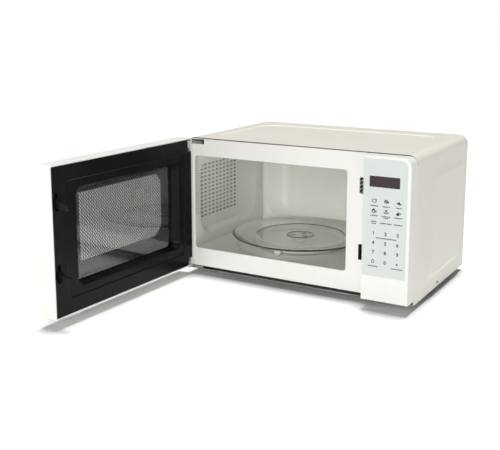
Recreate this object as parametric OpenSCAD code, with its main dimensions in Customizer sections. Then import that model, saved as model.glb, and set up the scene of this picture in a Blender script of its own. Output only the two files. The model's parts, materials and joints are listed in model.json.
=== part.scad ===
// Countertop microwave oven with its door standing open, in millimetres.
// The origin is on the standing surface under the middle of the cabinet:
// +X to the right, +Y to the back, +Z up.

/* [Cabinet] */
// Width of the cabinet
cabinet_w = 440; // [430:1:540]
// Depth of the cabinet from the front plate to its back edge
cabinet_d = 276; // [270:1:340]
// Height of the cabinet's top above the standing surface
cabinet_h = 258; // [250:1:320]
// Radius of the two long top corners
wrapper_r = 16; // [8:1:24]
// Thickness of the sheet steel
sheet = 0.8; // [0.6:0.1:1.2]
// Height of the stamped feet under the base
foot_h = 10; // [8:1:14]
// How far the panels stamped into the wrapper's sides stand out
side_stamp = 4; // [1:0.5:6]

/* [Cavity] */
// Width of the cooking cavity
cavity_w = 305; // [280:1:312]
// Height of the cooking cavity
cavity_h = 175; // [150:1:186]
// Depth of the cooking cavity from the front plate to its back wall
cavity_d = 260; // [250:1:262]
// Space between the wrapper's left side and the cavity
cavity_left_gap = 14; // [10:1:20]
// Space between the base and the cavity's floor
cavity_rise = 40; // [38:1:48]

/* [Turntable] */
// Diameter of the glass tray
tray_d = 260; // [216:1:264]
// Diameter of the roller wheels
wheel_d = 14; // [11:1:18]
// Radius of the circle that the roller wheels run on
roller_track_r = 92; // [70:1:100]

/* [Door] */
// Thickness of the closed door, without its handle
door_t = 32; // [28:1:38]
// Gap between the closed door and the front plate
door_gap = 1.5; // [1:0.1:2.5]
// Angle that the door stands open at
door_open = 92; // [60:1:96]
// Radius of the hinge pins
hinge_pin_r = 2; // [1.5:0.1:2.4]
// How far the handle stands out of the door
handle_out = 24; // [18:1:30]
// How far the latch hooks reach out of the door's inner face
hook_out = 24; // [20:1:27]

/* [Control panel] */
// Width of the control panel
panel_w = 80.5; // [74:0.5:84]
// How far the control panel stands in front of the front plate
panel_out = 30; // [24:1:34]

/* [Cooling] */
// Diameter of the fan blade
fan_d = 88; // [70:1:92]

/* [Hidden] */
$fn = 48;

// Clearances
seat = 0.1;          // between fixed pieces that seat in each other
air = 0.3;           // between curved faces of pieces that move past each other
run = 0.06;          // radial clearance of a pin or shaft in its bore

// Outer faces of the cabinet
x_left = -cabinet_w / 2;
x_right = cabinet_w / 2;
y_front = -cabinet_d / 2;
y_back = cabinet_d / 2;
base_z = foot_h;
wrapper_z = base_z - 0.5;
inner_top = cabinet_h - sheet;
rear_t = sheet;
rear_y = y_back - rear_t - 0.5;

// Cooking cavity
cav_x0 = x_left + cavity_left_gap;
cav_x1 = cav_x0 + cavity_w;
cav_y0 = y_front + sheet;
cav_y1 = y_front + cavity_d;
cav_z0 = base_z + cavity_rise;
cav_z1 = cav_z0 + cavity_h;
opening_r = 6;
lip_depth = 3.4;     // of the lips turned in round the front plate's openings
back_emboss = 8;
well_r = min(tray_d / 2 - 8, cavity_w / 2 - 20);

// Control panel
panel_x0 = x_right - panel_w;
panel_y = y_front - panel_out;
panel_z0 = base_z + 7.5;
panel_z1 = cabinet_h - 2;
panel_wall = 2.5;
membrane_z0 = panel_z0 + 42;
membrane_x = [panel_x0 + 1.5, x_right - 5.5];
display_x = [panel_x0 + 11, panel_x0 + 62.5];
display_z = [cabinet_h - 51, cabinet_h - 33];
board_y = panel_y + 9;

// Machine compartment to the right of the cavity
comp_x0 = cav_x1 + sheet;
comp_x1 = x_right - sheet;
comp_mid = (comp_x0 + comp_x1) / 2 + 4;
wrapper_air = 6;     // between the machine's parts and the wrapper's side

// Front plate
plate_x = [x_left + sheet + seat, panel_x0 - 0.5];
plate_z = [base_z + 7, inner_top - 1.2];

// Door, described closed
door_x = [x_left + 0.5, panel_x0 - 2.5];
door_z = [base_z + 6, cabinet_h - 1];
door_in = y_front - door_gap;
door_out = door_in - door_t;
fascia_t = 8;
frame_wall = 2.5;
hinge_x = door_x[0] + 5;
hinge_y = door_in - 5.5;
hinge_plate_t = 2;
upper_hinge_z = door_z[1] - 7;
lower_hinge_z = door_z[0] - 1 - hinge_plate_t;
hinge_pin_l = 10;
hinge_boss_r = hinge_pin_r + 2.4;
notch_r = 8;

// Window and screen of the door
window_x = [cav_x0 + 27, cav_x1 - 19];
window_z = [cav_z0 + 9.5, cav_z1 - 12.5];
screen_x = [window_x[0] + 14, window_x[1] - 14];
screen_z = [window_z[0] + 10, window_z[1] - 8];
cover_t = 2.5;
screen_y = door_in - 17;

// Latch
latch_x = panel_x0 - 14;
hook_w = 4;
slot_w = 9;
slot_h = 27;
slot_zs = [base_z + 64, base_z + 177];
latch_y = door_in - 13;
hook_tip = door_in + hook_out;
bar_half = 4.5;
bar_z = [slot_zs[0] - 6, slot_zs[1] + slot_h - 2];
spring_z = [bar_z[1] + 0.2, bar_z[1] + 16];

// Turntable
spin_x = (cav_x0 + cav_x1) / 2;
spin_y = y_front + cavity_d / 2 + 4;
track_drop = 4;
track_z = cav_z0 - track_drop;
wheel_w = 6;
wheel_z = track_z + air + wheel_d / 2;
tray_z = track_z + air * 2 + wheel_d;
tray_t = 4;
tray_rim = 9;
shaft_r = 3.5;
motor_z = [track_z - sheet - 20, track_z - sheet - seat];

// Fan
fan_y = rear_y - 16;
fan_z = base_z + 140;
shroud_half = fan_d / 2 + 8;
fan_shaft_r = 2;

// Magnetron
mag_y = 26;
mag_z = fan_z;
guide_depth = 38;
guide_x = [comp_x0, comp_x0 + guide_depth];
guide_y = [-55, mag_y + 32];
guide_z = [mag_z - 30, mag_z + 30];
inlet_y = [-45, -5];
inlet_z = [mag_z - 25, mag_z + 25];

// ---- shapes used by several pieces ----

// A block between two corners given as [low, high] pairs
module block(x, y, z) {
    translate([x[0], y[0], z[0]])
        cube([x[1] - x[0], y[1] - y[0], z[1] - z[0]]);
}

// A rectangle between [low, high] pairs with round corners
module round_rect(x, z, r) {
    translate([x[0] + r, z[0]])
        square([x[1] - x[0] - 2 * r, z[1] - z[0]]);
    translate([x[0], z[0] + r])
        square([x[1] - x[0], z[1] - z[0] - 2 * r]);
    for (cx = [x[0] + r, x[1] - r], cz = [z[0] + r, z[1] - r])
        translate([cx, cz])
            circle(r);
}

// An upright outline with two round top corners
module arch(x, z, r) {
    translate([x[0], z[0]])
        square([x[1] - x[0], z[1] - z[0] - r]);
    translate([x[0] + r, z[0]])
        square([x[1] - x[0] - 2 * r, z[1] - z[0]]);
    for (cx = [x[0] + r, x[1] - r])
        translate([cx, z[1] - r])
            circle(r);
}

// An X-Z outline made a plate from y, thick towards the back
module wall_y(y, thick) {
    translate([0, y + thick, 0])
        rotate([90, 0, 0])
            linear_extrude(thick)
                children();
}

// A Y-Z outline made a plate from x, thick towards the right
module wall_x(x, thick) {
    translate([x, 0, 0])
        rotate([90, 0, 90])
            linear_extrude(thick)
                children();
}

// A round bar along Y
module bar_y(x, y, z, r) {
    translate([x, y[1], z])
        rotate([90, 0, 0])
            cylinder(h = y[1] - y[0], r = r);
}

// A round bar along X
module bar_x(x, y, z, r) {
    translate([x[0], y, z])
        rotate([0, 90, 0])
            cylinder(h = x[1] - x[0], r = r);
}

// Turns a closed door's piece to where the open door holds it
module opened() {
    translate([hinge_x, hinge_y, 0])
        rotate([0, 0, -door_open])
            translate([-hinge_x, -hinge_y, 0])
                children();
}

// ---- cabinet ----

side_panel_y = [y_front + 56, y_back - 26];
side_panel_z = [base_z + 26, cabinet_h - 40];
top_panel_x = [x_left + 36, x_right - 36];
top_panel_y = [y_front + 18, y_back - 40];
top_stamp = 0.8;
screw_y = -16;

// The side's stamped panel, as a shallow pan that stands out of the wall
module side_pan(side) {
    wall = side * (cabinet_w / 2 - sheet);
    out = wall + side * (side_stamp + sheet);
    hollow = [wall, wall + side * side_stamp];
    difference() {
        block([min(wall, out), max(wall, out)], side_panel_y, side_panel_z);
        block([min(hollow) - (side > 0 ? 1 : 0), max(hollow) + (side > 0 ? 0 : 1)],
              [side_panel_y[0] + sheet, side_panel_y[1] - sheet],
              [side_panel_z[0] + sheet, side_panel_z[1] - sheet]);
    }
}

module outer_cabinet() {
    top_x = [top_panel_x[0] + sheet, top_panel_x[1] - sheet];
    top_y = [top_panel_y[0] + sheet, top_panel_y[1] - sheet];
    color("ivory")
    difference() {
        union() {
            difference() {
                wall_y(y_front, cabinet_d)
                    arch([x_left, x_right], [wrapper_z, cabinet_h], wrapper_r);
                wall_y(y_front - 1, cabinet_d + 2)
                    arch([x_left + sheet, x_right - sheet], [wrapper_z - 1, inner_top],
                         wrapper_r - sheet);
                for (x = [x_left, x_right])
                    block([x - 1, x + 1], side_panel_y, side_panel_z);
                block(top_panel_x, top_panel_y, [inner_top - 1, cabinet_h + 1]);
            }
            for (side = [-1, 1])
                side_pan(side);
            block(top_panel_x, top_panel_y, [inner_top - top_stamp, cabinet_h]);
        }
        block(top_x, top_y, [cabinet_h - top_stamp, cabinet_h + 1]);
        for (x = [x_left, x_right])
            bar_x([x - 2, x + 2], screw_y, base_z + 5.5, 1.7);
    }
}

foot_x = cabinet_w / 2 - 37;
foot_y = cabinet_d / 2 - 39;
foot_top_r = 36;
foot_low_r = 17;
pad_t = 1.6;
base_x = [x_left + sheet + seat, x_right - sheet - seat];
base_y = [y_front + sheet + 1, rear_y - seat];
dimple_x = [50, 104];
dimple_drop = 5.5;

// One vent slot in the base, with its middle at x and y
module base_vent(x, y) {
    block([x - 2, x + 2], [y - 11, y + 11], [base_z - 1, base_z + sheet + 1]);
}

module base_plate() {
    flange_h = 12;
    color("lightgray")
    difference() {
        union() {
            block(base_x, base_y, [base_z, base_z + sheet]);
            for (x = [base_x[0], base_x[1] - sheet])
                block([x, x + sheet], base_y, [base_z, base_z + flange_h]);
            for (sx = [-1, 1], sy = [-1, 1])
                translate([sx * foot_x, sy * foot_y, pad_t])
                    cylinder(h = base_z - pad_t, r1 = foot_low_r, r2 = foot_top_r);
            block(dimple_x, [base_y[0] + 12, -40], [base_z - dimple_drop, base_z + sheet]);
        }
        for (sx = [-1, 1], sy = [-1, 1])
            translate([sx * foot_x, sy * foot_y, pad_t + sheet])
                cylinder(h = base_z - pad_t + 0.01, r1 = foot_low_r - sheet / 2, r2 = foot_top_r - sheet);
        block([dimple_x[0] + sheet, dimple_x[1] - sheet], [base_y[0] + 12 + sheet, -40 - sheet],
              [base_z - dimple_drop + sheet, base_z + sheet + 1]);
        for (i = [0 : 7], row = [0 : 1])
            base_vent(comp_mid - 42 + i * 12, 6 + row * 34);
        for (x = [base_x[0], base_x[1]])
            bar_x([x - 2, x + 2], screw_y, base_z + 5.5, 1.5);
    }
}

module foot_pads() {
    color("dimgray")
    for (sx = [-1, 1], sy = [-1, 1])
        translate([sx * foot_x, sy * foot_y, 0])
            cylinder(h = pad_t, r = foot_low_r - 2);
}

inlet_x = comp_mid - 10;
inlet_height = base_z + 28;
cord_r = 3.6;
bushing_r = 7;
vent_pitch = 8;
exhaust_x = cav_x0 + 60;

module rear_panel() {
    color("ivory")
    difference() {
        wall_y(rear_y, rear_t)
            arch([x_left + sheet + seat, x_right - sheet - seat], [base_z + sheet, inner_top - seat],
                 wrapper_r - sheet - seat);
        for (i = [-5 : 5], j = [-5 : 5])
            if (i * i + j * j < 27)
                bar_y(comp_mid + i * vent_pitch, [rear_y - 1, rear_y + 2], fan_z + j * vent_pitch, 2.5);
        for (i = [0 : 9], j = [0 : 3])
            bar_y(exhaust_x + i * vent_pitch, [rear_y - 1, rear_y + 2],
                  cav_z1 - 12 + j * vent_pitch, 2);
        bar_y(inlet_x, [rear_y - 1, rear_y + 2], inlet_height, bushing_r);
        for (sx = [-1, 1], z = [base_z + 30, cabinet_h - 40])
            bar_y(sx * (cabinet_w / 2 - 12), [rear_y - 1, rear_y + 2], z, 1.6);
    }
}

module cord_bushing() {
    color("dimgray")
    difference() {
        union() {
            bar_y(inlet_x, [rear_y - 6, rear_y], inlet_height, bushing_r + 2);
            bar_y(inlet_x, [rear_y - 6, y_back + 4], inlet_height, bushing_r - seat);
        }
        bar_y(inlet_x, [rear_y - 7, y_back + 5], inlet_height, cord_r);
    }
}

// A pan-head screw whose head sits on a face at the origin and points along -Z
module screw() {
    translate([0, 0, -6])
        cylinder(h = 6.01, r = 1.4);
    difference() {
        cylinder(h = 2, r = 3.4);
        for (a = [0, 90])
            rotate([0, 0, a])
                translate([-2, -0.4, 1])
                    cube([4, 0.8, 2]);
    }
}

module case_screws() {
    color("silver") {
        for (side = [-1, 1])
            translate([side * (cabinet_w / 2), screw_y, base_z + 5.5])
                rotate([0, side * 90, 0])
                    screw();
        for (sx = [-1, 1], z = [base_z + 30, cabinet_h - 40])
            translate([sx * (cabinet_w / 2 - 12), rear_y + rear_t, z])
                rotate([-90, 0, 0])
                    screw();
    }
}

module front_plate() {
    slot_x = [latch_x - slot_w / 2, latch_x + slot_w / 2];
    slot_top = upper_hinge_z + hinge_plate_t + 1;
    turned_in = [y_front, y_front + lip_depth];
    color("whitesmoke")
    difference() {
        union() {
            wall_y(y_front, sheet)
                intersection() {
                    arch([plate_x[0], x_right - sheet - seat], plate_z, wrapper_r - sheet - seat);
                    translate([plate_x[0], plate_z[0]])
                        square([plate_x[1] - plate_x[0], plate_z[1] - plate_z[0]]);
                }
            block([plate_x[0] + 40, plate_x[1]], [y_front, y_front + 12], [plate_z[0], plate_z[0] + sheet]);
            // Lip turned in round the opening, and a tab at each end of the latch slots
            wall_y(y_front, lip_depth)
                mouth(seat);
            for (z = slot_zs)
                block(slot_x, turned_in, [z - sheet, z + slot_h + sheet]);
        }
        wall_y(y_front - 1, lip_depth + 2)
            mouth(seat + sheet);
        for (z = slot_zs)
            block(slot_x, [y_front - 1, y_front + lip_depth + 1], [z, z + slot_h]);
        block([plate_x[0] - 1, plate_x[0] + 34], [y_front - 1, y_front + 2],
              [upper_hinge_z - 1, slot_top]);
    }
}

// The oven's mouth, taken in on every side
module mouth(by) {
    round_rect([cav_x0 + by, cav_x1 - by], [cav_z0 + by, cav_z1 - by], opening_r - by);
}

// ---- cavity, five sheets that close against the front plate ----

module cavity_left_wall() {
    color("gainsboro")
    difference() {
        block([cav_x0 - sheet, cav_x0], [cav_y0, cav_y1 + sheet], [cav_z0 - sheet, cav_z1 + sheet]);
        for (i = [0 : 6], j = [0 : 4])
            bar_x([cav_x0 - 2, cav_x0 + 1], cav_y0 + 24 + i * 18, cav_z0 + 70 + j * 18, 3);
    }
}

module cavity_right_wall() {
    color("gainsboro")
    difference() {
        block([cav_x1, cav_x1 + sheet], [cav_y0, cav_y1 + sheet], [cav_z0 - sheet, cav_z1 + sheet]);
        block([cav_x1 - 1, cav_x1 + 2], inlet_y, inlet_z);
        for (i = [0 : 3], j = [0 : 3])
            bar_x([cav_x1 - 1, cav_x1 + 2], lamp_y[0] + 4 + i * 9, lamp_z - 12 + j * 8, 2.5);
    }
}

module cavity_ceiling() {
    color("gainsboro")
        block([cav_x0, cav_x1], [cav_y0, cav_y1 + sheet], [cav_z1, cav_z1 + sheet]);
}

// Flat sheet with a round hole, whose edge is turned down to the well
module cavity_floor() {
    color("gainsboro")
    difference() {
        union() {
            block([cav_x0, cav_x1], [cav_y0, cav_y1 + sheet], [cav_z0 - sheet, cav_z0]);
            translate([spin_x, spin_y, track_z])
                cylinder(h = track_drop, r = well_r + sheet);
        }
        translate([spin_x, spin_y, track_z - 1])
            cylinder(h = track_drop + 2, r = well_r);
    }
}

// Round sheet that the rollers run on, welded under the floor's turned edge
module turntable_well() {
    hole_r = shaft_r + 4;
    color("gainsboro")
    translate([spin_x, spin_y, track_z - sheet])
    difference() {
        cylinder(h = sheet, r = well_r + sheet);
        translate([0, 0, -1])
            cylinder(h = sheet + 2, r = hole_r);
    }
}

module cavity_back_wall() {
    rim = 26;
    color("gainsboro")
    difference() {
        union() {
            block([cav_x0, cav_x1], [cav_y1, cav_y1 + sheet], [cav_z0, cav_z1]);
            wall_y(cav_y1, back_emboss + sheet)
                round_rect([cav_x0 + rim, cav_x1 - rim], [cav_z0 + 3, cav_z1 - rim], 20);
        }
        wall_y(cav_y1 - 1, back_emboss + 1)
            round_rect([cav_x0 + rim + sheet, cav_x1 - rim - sheet],
                       [cav_z0 + 3 + sheet, cav_z1 - rim - sheet], 19);
    }
}

module waveguide_cover() {
    color("tan")
        wall_x(cav_x1 - 0.7, 0.6)
            round_rect([inlet_y[0] - 8, inlet_y[1] + 8], [inlet_z[0] - 8, inlet_z[1] + 8], 4);
}

// ---- microwave generator ----

antenna_r = 9;

module waveguide() {
    color("silver")
    difference() {
        block(guide_x, guide_y, guide_z);
        block([guide_x[0] + sheet, guide_x[1] - sheet], [guide_y[0] + sheet, guide_y[1] - sheet],
              [guide_z[0] + sheet, guide_z[1] - sheet]);
        block([guide_x[0] - 1, guide_x[0] + 2], inlet_y, inlet_z);
        bar_x([guide_x[1] - 2, guide_x[1] + 1], mag_y, mag_z, antenna_r + 3);
    }
}

module magnetron() {
    body_x = [guide_x[1] + 1.5, guide_x[1] + 47];
    fin_pitch = 7;
    color("gainsboro") {
        // Flange, yoke plates and filter box
        block([guide_x[1], body_x[0]], [mag_y - 50, mag_y + 50], [mag_z - 42, mag_z + 42]);
        for (z = [mag_z - 40, mag_z + 38])
            block(body_x, [mag_y - 42, mag_y + 42], [z, z + 2]);
        block([body_x[1], body_x[1] + 1.5], [mag_y - 42, mag_y + 42], [mag_z - 40, mag_z + 40]);
        block([body_x[1] + 1.5, min(body_x[1] + 24, comp_x1 - wrapper_air)],
              [mag_y - 34, mag_y + 34], [mag_z - 34, mag_z + 34]);
    }
    // Anode block with its cooling fins
    color("lightsteelblue") {
        bar_x(body_x, mag_y, mag_z, 19);
        for (i = [1 : 5])
            block([body_x[0] + i * fin_pitch, body_x[0] + i * fin_pitch + 0.8],
                  [mag_y - 38, mag_y + 38], [mag_z - 38, mag_z + 38]);
    }
    color("peachpuff")
        bar_x([guide_x[1] - 26, guide_x[1]], mag_y, mag_z, antenna_r);
}

core_x = [comp_mid - 42, comp_mid + 42];
core_y = [-84, -24];
core_z = [base_z + sheet, base_z + sheet + 68];

module transformer_core() {
    window_w = 18;
    color("slategray")
    difference() {
        block(core_x, core_y, core_z);
        for (x = [core_x[0] + 14, core_x[1] - 14 - window_w])
            block([x, x + window_w], [core_y[0] - 1, core_y[1] + 1], [core_z[0] + 14, core_z[1] - 14]);
    }
}

module transformer_windings() {
    leg = [core_x[0] + 32 + seat, core_x[1] - 32 - seat];
    color("peru")
    for (half = [[core_z[0] + 14 + seat, core_z[0] + 32], [core_z[0] + 36, core_z[1] - 14 - seat]])
        difference() {
            block([core_x[0] + 15, core_x[1] - 15], [core_y[0] - 14, core_y[1] + 14], half);
            block([leg[0] - 2 * seat, leg[1] + 2 * seat], [core_y[0] - seat, core_y[1] + seat],
                  [half[0] - 1, half[1] + 1]);
        }
}

cap_y = 62;
cap_z = base_z + sheet + 21;

module hv_capacitor() {
    x = [comp_x0 + 8, comp_x0 + 84];
    color("silver") {
        for (dz = [-8, 8])
            bar_x(x, cap_y, cap_z + dz, 16 - abs(dz) / 2);
        block(x, [cap_y - 12, cap_y + 12], [cap_z - 8, cap_z + 8]);
        for (dz = [-7, 7])
            block([x[1], x[1] + 8], [cap_y - 3, cap_y + 3], [cap_z + dz - 0.4, cap_z + dz + 0.4]);
    }
}

module capacitor_clamp() {
    x = [comp_x0 + 40, comp_x0 + 54];
    reach = cap_z + 22;
    color("gainsboro") {
        for (y = [cap_y - 18, cap_y + 17])
            block(x, [y, y + 1], [base_z + sheet, reach]);
        block(x, [cap_y - 18, cap_y + 18], [reach, reach + 1]);
        block(x, [cap_y + 17, cap_y + 30], [base_z + sheet, base_z + sheet + 1]);
    }
}

module hv_diode() {
    x = comp_x1 - wrapper_air - 13;
    color("dimgray")
        bar_y(x, [cap_y - 14, cap_y + 10], base_z + sheet + 9, 4);
    color("silver") {
        bar_y(x, [cap_y + 10, cap_y + 26], base_z + sheet + 9, 0.8);
        block([x - 6, x + 6], [cap_y - 20, cap_y - 14], [base_z + sheet, base_z + sheet + 10]);
    }
}

// ---- cooling fan ----

fan_motor_y = [fan_y - 42, fan_y - 18];

module fan_motor() {
    color("darkslategray")
    difference() {
        union() {
            block([comp_mid - 32, comp_mid + 32], [fan_motor_y[0] + 4, fan_motor_y[1] - 2],
                  [fan_z - 26, fan_z + 34]);
            bar_y(comp_mid, fan_motor_y, fan_z, 12);
        }
        block([comp_mid - 20, comp_mid + 20], [fan_motor_y[0] - 1, fan_motor_y[1] + 1],
              [fan_z + 16, fan_z + 24]);
        bar_y(comp_mid, [fan_motor_y[0] - 1, fan_motor_y[1] + 1], fan_z, fan_shaft_r + run);
    }
    color("peru")
        block([comp_mid - 15, comp_mid + 15], [fan_motor_y[0], fan_motor_y[1]],
              [fan_z + 35, fan_z + 48]);
    color("darkslategray")
        block([comp_mid - 10, comp_mid + 10], [fan_motor_y[0] + 4, fan_motor_y[1] - 2],
              [fan_z + 33, fan_z + 36]);
}

module fan_shroud() {
    y = [fan_y - 12, rear_y - seat];
    color("whitesmoke") {
        difference() {
            block([comp_mid - shroud_half, min(comp_mid + shroud_half, comp_x1 - wrapper_air + 1)], y,
                  [fan_z - shroud_half, fan_z + shroud_half]);
            bar_y(comp_mid, [y[0] - 1, y[1] + 1], fan_z, fan_d / 2 + 2);
        }
        // Arms that carry the motor
        for (x = [comp_mid - 30, comp_mid + 24])
            difference() {
                block([x, x + 6], [fan_motor_y[1] - 2, y[0] + 4], [fan_z - shroud_half, fan_z + shroud_half]);
                block([x - 1, x + 7], [fan_motor_y[1] + 1, y[0] + 5], [fan_z - fan_d / 2, fan_z + fan_d / 2]);
            }
    }
}

module fan_blade() {
    hub_r = 11;
    color("lightgray") {
        difference() {
            bar_y(comp_mid, [fan_y - 7, fan_y + 7], fan_z, hub_r);
            bar_y(comp_mid, [fan_y - 8, fan_y + 2], fan_z, fan_shaft_r);
        }
        for (i = [0 : 4])
            translate([comp_mid, fan_y, fan_z])
                rotate([0, i * 72, 0])
                    translate([hub_r - 1.5, 0, 0])
                        rotate([32, 0, 0])
                            translate([0, -1, -13])
                                cube([fan_d / 2 - hub_r + 0.5, 2, 26]);
    }
    color("silver")
        bar_y(comp_mid, [fan_motor_y[0] - 3, fan_y + 2], fan_z, fan_shaft_r);
}

// ---- turntable ----

module turntable_motor() {
    color("silver")
    translate([spin_x, spin_y, 0])
        difference() {
            union() {
                translate([0, 0, motor_z[0]])
                    cylinder(h = 16, r = 25);
                translate([0, 0, motor_z[0] + 16])
                    cylinder(h = motor_z[1] - motor_z[0] - 16, r = 6.5);
                for (side = [-1, 1])
                    difference() {
                        translate([side * 30 - 6, -6, motor_z[1] - 1.5])
                            cube([12, 12, 1.5]);
                        translate([side * 31, 0, motor_z[1] - 2])
                            cylinder(h = 3, r = 2);
                    }
                for (side = [-1, 1])
                    translate([side * 24.5 - 2, -6, motor_z[0] + 14])
                        cube([4, 12, motor_z[1] - motor_z[0] - 14]);
            }
            translate([0, 0, motor_z[0] + 4])
                cylinder(h = motor_z[1] - motor_z[0], r = shaft_r + run);
        }
}

coupler_top = tray_z - air;
coupler_low = track_z + 2;
coupler_r = 9;

module turntable_shaft() {
    color("whitesmoke")
    translate([spin_x, spin_y, motor_z[0] + 4 + air])
        cylinder(h = coupler_low + 8 - motor_z[0] - 4 - air, r = shaft_r);
}

module turntable_coupler() {
    color("whitesmoke")
    translate([spin_x, spin_y, 0])
        difference() {
            union() {
                translate([0, 0, coupler_low])
                    cylinder(h = coupler_top - coupler_low, r = coupler_r);
                for (a = [90, 210, 330])
                    rotate([0, 0, a])
                        translate([0, -3, coupler_top - 6])
                            cube([coupler_r + 9, 6, 6]);
            }
            translate([0, 0, coupler_low - 1])
                cylinder(h = 9, r = shaft_r);
        }
}

ring_r = roller_track_r - wheel_w / 2 - 4;
ring_w = 7;
axle_r = 1.6;

module roller_ring() {
    color("white")
    translate([spin_x, spin_y, 0]) {
        difference() {
            translate([0, 0, wheel_z - 3])
                cylinder(h = 6, r = ring_r);
            translate([0, 0, wheel_z - 4])
                cylinder(h = 8, r = ring_r - ring_w);
        }
        for (a = [30, 150, 270])
            rotate([0, 0, a]) {
                bar_x([ring_r - 1, roller_track_r + wheel_w / 2 + 1], 0, wheel_z, axle_r);
                bar_x([roller_track_r + wheel_w / 2 + 0.6, roller_track_r + wheel_w / 2 + 2], 0, wheel_z, 2.6);
            }
    }
}

// One wheel on the ring's axle at angle a
module roller_wheel(a) {
    color("whitesmoke")
    translate([spin_x, spin_y, 0])
        rotate([0, 0, a])
            difference() {
                bar_x([roller_track_r - wheel_w / 2, roller_track_r + wheel_w / 2], 0, wheel_z, wheel_d / 2);
                bar_x([ring_r, roller_track_r + wheel_w], 0, wheel_z, axle_r + run);
                for (x = [roller_track_r - wheel_w / 2 - 1, roller_track_r + wheel_w / 2 - 1])
                    difference() {
                        bar_x([x, x + 2], 0, wheel_z, wheel_d / 2 - 1.6);
                        bar_x([x - 1, x + 3], 0, wheel_z, axle_r + 1.6);
                    }
            }
}

module glass_tray() {
    r = tray_d / 2;
    color("powderblue", 0.5)
    translate([spin_x, spin_y, tray_z])
        union() {
            rotate_extrude($fn = 96)
                polygon([
                    [0, 0], [r - 22, 0], [r - 10, 1.5], [r - 1, tray_rim - 2.5], [r, tray_rim - 1],
                    [r - 0.6, tray_rim], [r - 3, tray_rim - 0.6], [r - 12, tray_t + 1.4],
                    [r - 23, tray_t], [0, tray_t]
                ]);
            translate([0, 0, tray_t - 0.5])
                cylinder(h = 1.1, r = 24);
        }
}

// ---- lamp, cut-outs and filter board ----

lamp_y = [58, 96];
lamp_z = min(cav_z1 - 12, mag_z + 62);

module oven_lamp() {
    x = comp_x0 + 15;
    color("lemonchiffon")
        bar_y(x, [lamp_y[0] + 5, lamp_y[1] - 6], lamp_z, 10);
    color("lemonchiffon")
        translate([x, lamp_y[0] + 5, lamp_z])
            sphere(10);
    color("gold")
        bar_y(x, [lamp_y[1] - 6, lamp_y[1]], lamp_z, 7);
}

module lamp_holder() {
    x = comp_x0 + 15;
    color("whitesmoke")
    difference() {
        block([comp_x0, x + 11], [lamp_y[1] - 3, lamp_y[1] + 12], [lamp_z - 11, lamp_z + 11]);
        bar_y(x, [lamp_y[1] - 4, lamp_y[1]], lamp_z, 7);
    }
}

// A disc thermostat standing on a face at the origin, along +Z
module cutout() {
    cylinder(h = 2, r = 8);
    translate([0, 0, 2])
        cylinder(h = 8, r = 6.5);
    for (s = [-1, 1])
        translate([s * 4 - 0.4, -3, 10])
            cube([0.8, 6, 6]);
}

module thermal_cutouts() {
    color("dimgray") {
        translate([guide_x[1] + 28, mag_y, mag_z + 40])
            cutout();
        translate([comp_x0, -100, fan_z])
            rotate([0, 90, 0])
                cutout();
    }
}

filter_z = cav_z1 + 4;

module noise_filter_board() {
    x = [comp_x0 + 8, comp_x0 + 84];
    color("tan")
        block(x, [-60, 20], [filter_z, filter_z + 1.6]);
    color("gold")
    translate([x[0] + 24, -30, filter_z + 1.6])
        difference() {
            cylinder(h = 10, r = 14);
            translate([0, 0, -1])
                cylinder(h = 12, r = 6);
        }
    color("whitesmoke")
        block([x[0] + 46, x[0] + 70], [-52, -42], [filter_z + 1.6, filter_z + 9.6]);
    color("steelblue")
        block([x[0] + 46, x[0] + 70], [-30, -16], [filter_z + 1.6, filter_z + 13.6]);
    // Four legs that stand on the cavity's ceiling line
    color("whitesmoke")
    for (sx = [x[0] + 3, x[1] - 6], sy = [-57, 14])
        block([sx, sx + 3], [sy, sy + 3], [cav_z1 + sheet, filter_z]);
}

// ---- control panel ----

module control_panel() {
    color("ivory")
    difference() {
        wall_y(panel_y, panel_out - seat)
            intersection() {
                arch([x_left, x_right], [panel_z0, panel_z1], wrapper_r);
                translate([panel_x0, panel_z0])
                    square([panel_w, panel_z1 - panel_z0]);
            }
        block([panel_x0 + panel_wall, x_right - panel_wall], [panel_y + panel_wall, y_front + 1],
              [panel_z0 + panel_wall, panel_z1 - wrapper_r]);
        block([panel_x0 + panel_wall, x_right - wrapper_r], [panel_y + panel_wall, y_front + 1],
              [panel_z1 - wrapper_r - 1, panel_z1 - panel_wall]);
        // Seat for the membrane and window for the display
        block(membrane_x, [panel_y - 1, panel_y + 0.5], [membrane_z0, panel_z1 - 3]);
        block(display_x, [panel_y - 1, panel_y + panel_wall + 1], display_z);
    }
    // Posts that the board is screwed to
    color("ivory")
    for (x = [panel_x0 + 8, x_right - 12], z = [panel_z0 + 20, panel_z1 - 26])
        bar_y(x, [panel_y + panel_wall - 0.5, board_y], z, 3);
}

module keypad_membrane() {
    y = [panel_y, panel_y + 0.5];
    color("azure")
    difference() {
        block([membrane_x[0] + seat, membrane_x[1] - seat], y, [membrane_z0 + seat, panel_z1 - 3 - seat]);
        block(display_x, [y[0] - 1, y[1] + 1], display_z);
    }
}

module display_window() {
    color("black")
        block([display_x[0] + seat, display_x[1] - seat], [panel_y, panel_y + 2],
              [display_z[0] + seat, display_z[1] - seat]);
}

module display_module() {
    color("darkred")
        block([display_x[0] + 1, display_x[1] - 1], [panel_y + panel_wall + seat, board_y],
              [display_z[0] + 1, display_z[1] - 1]);
}

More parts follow.
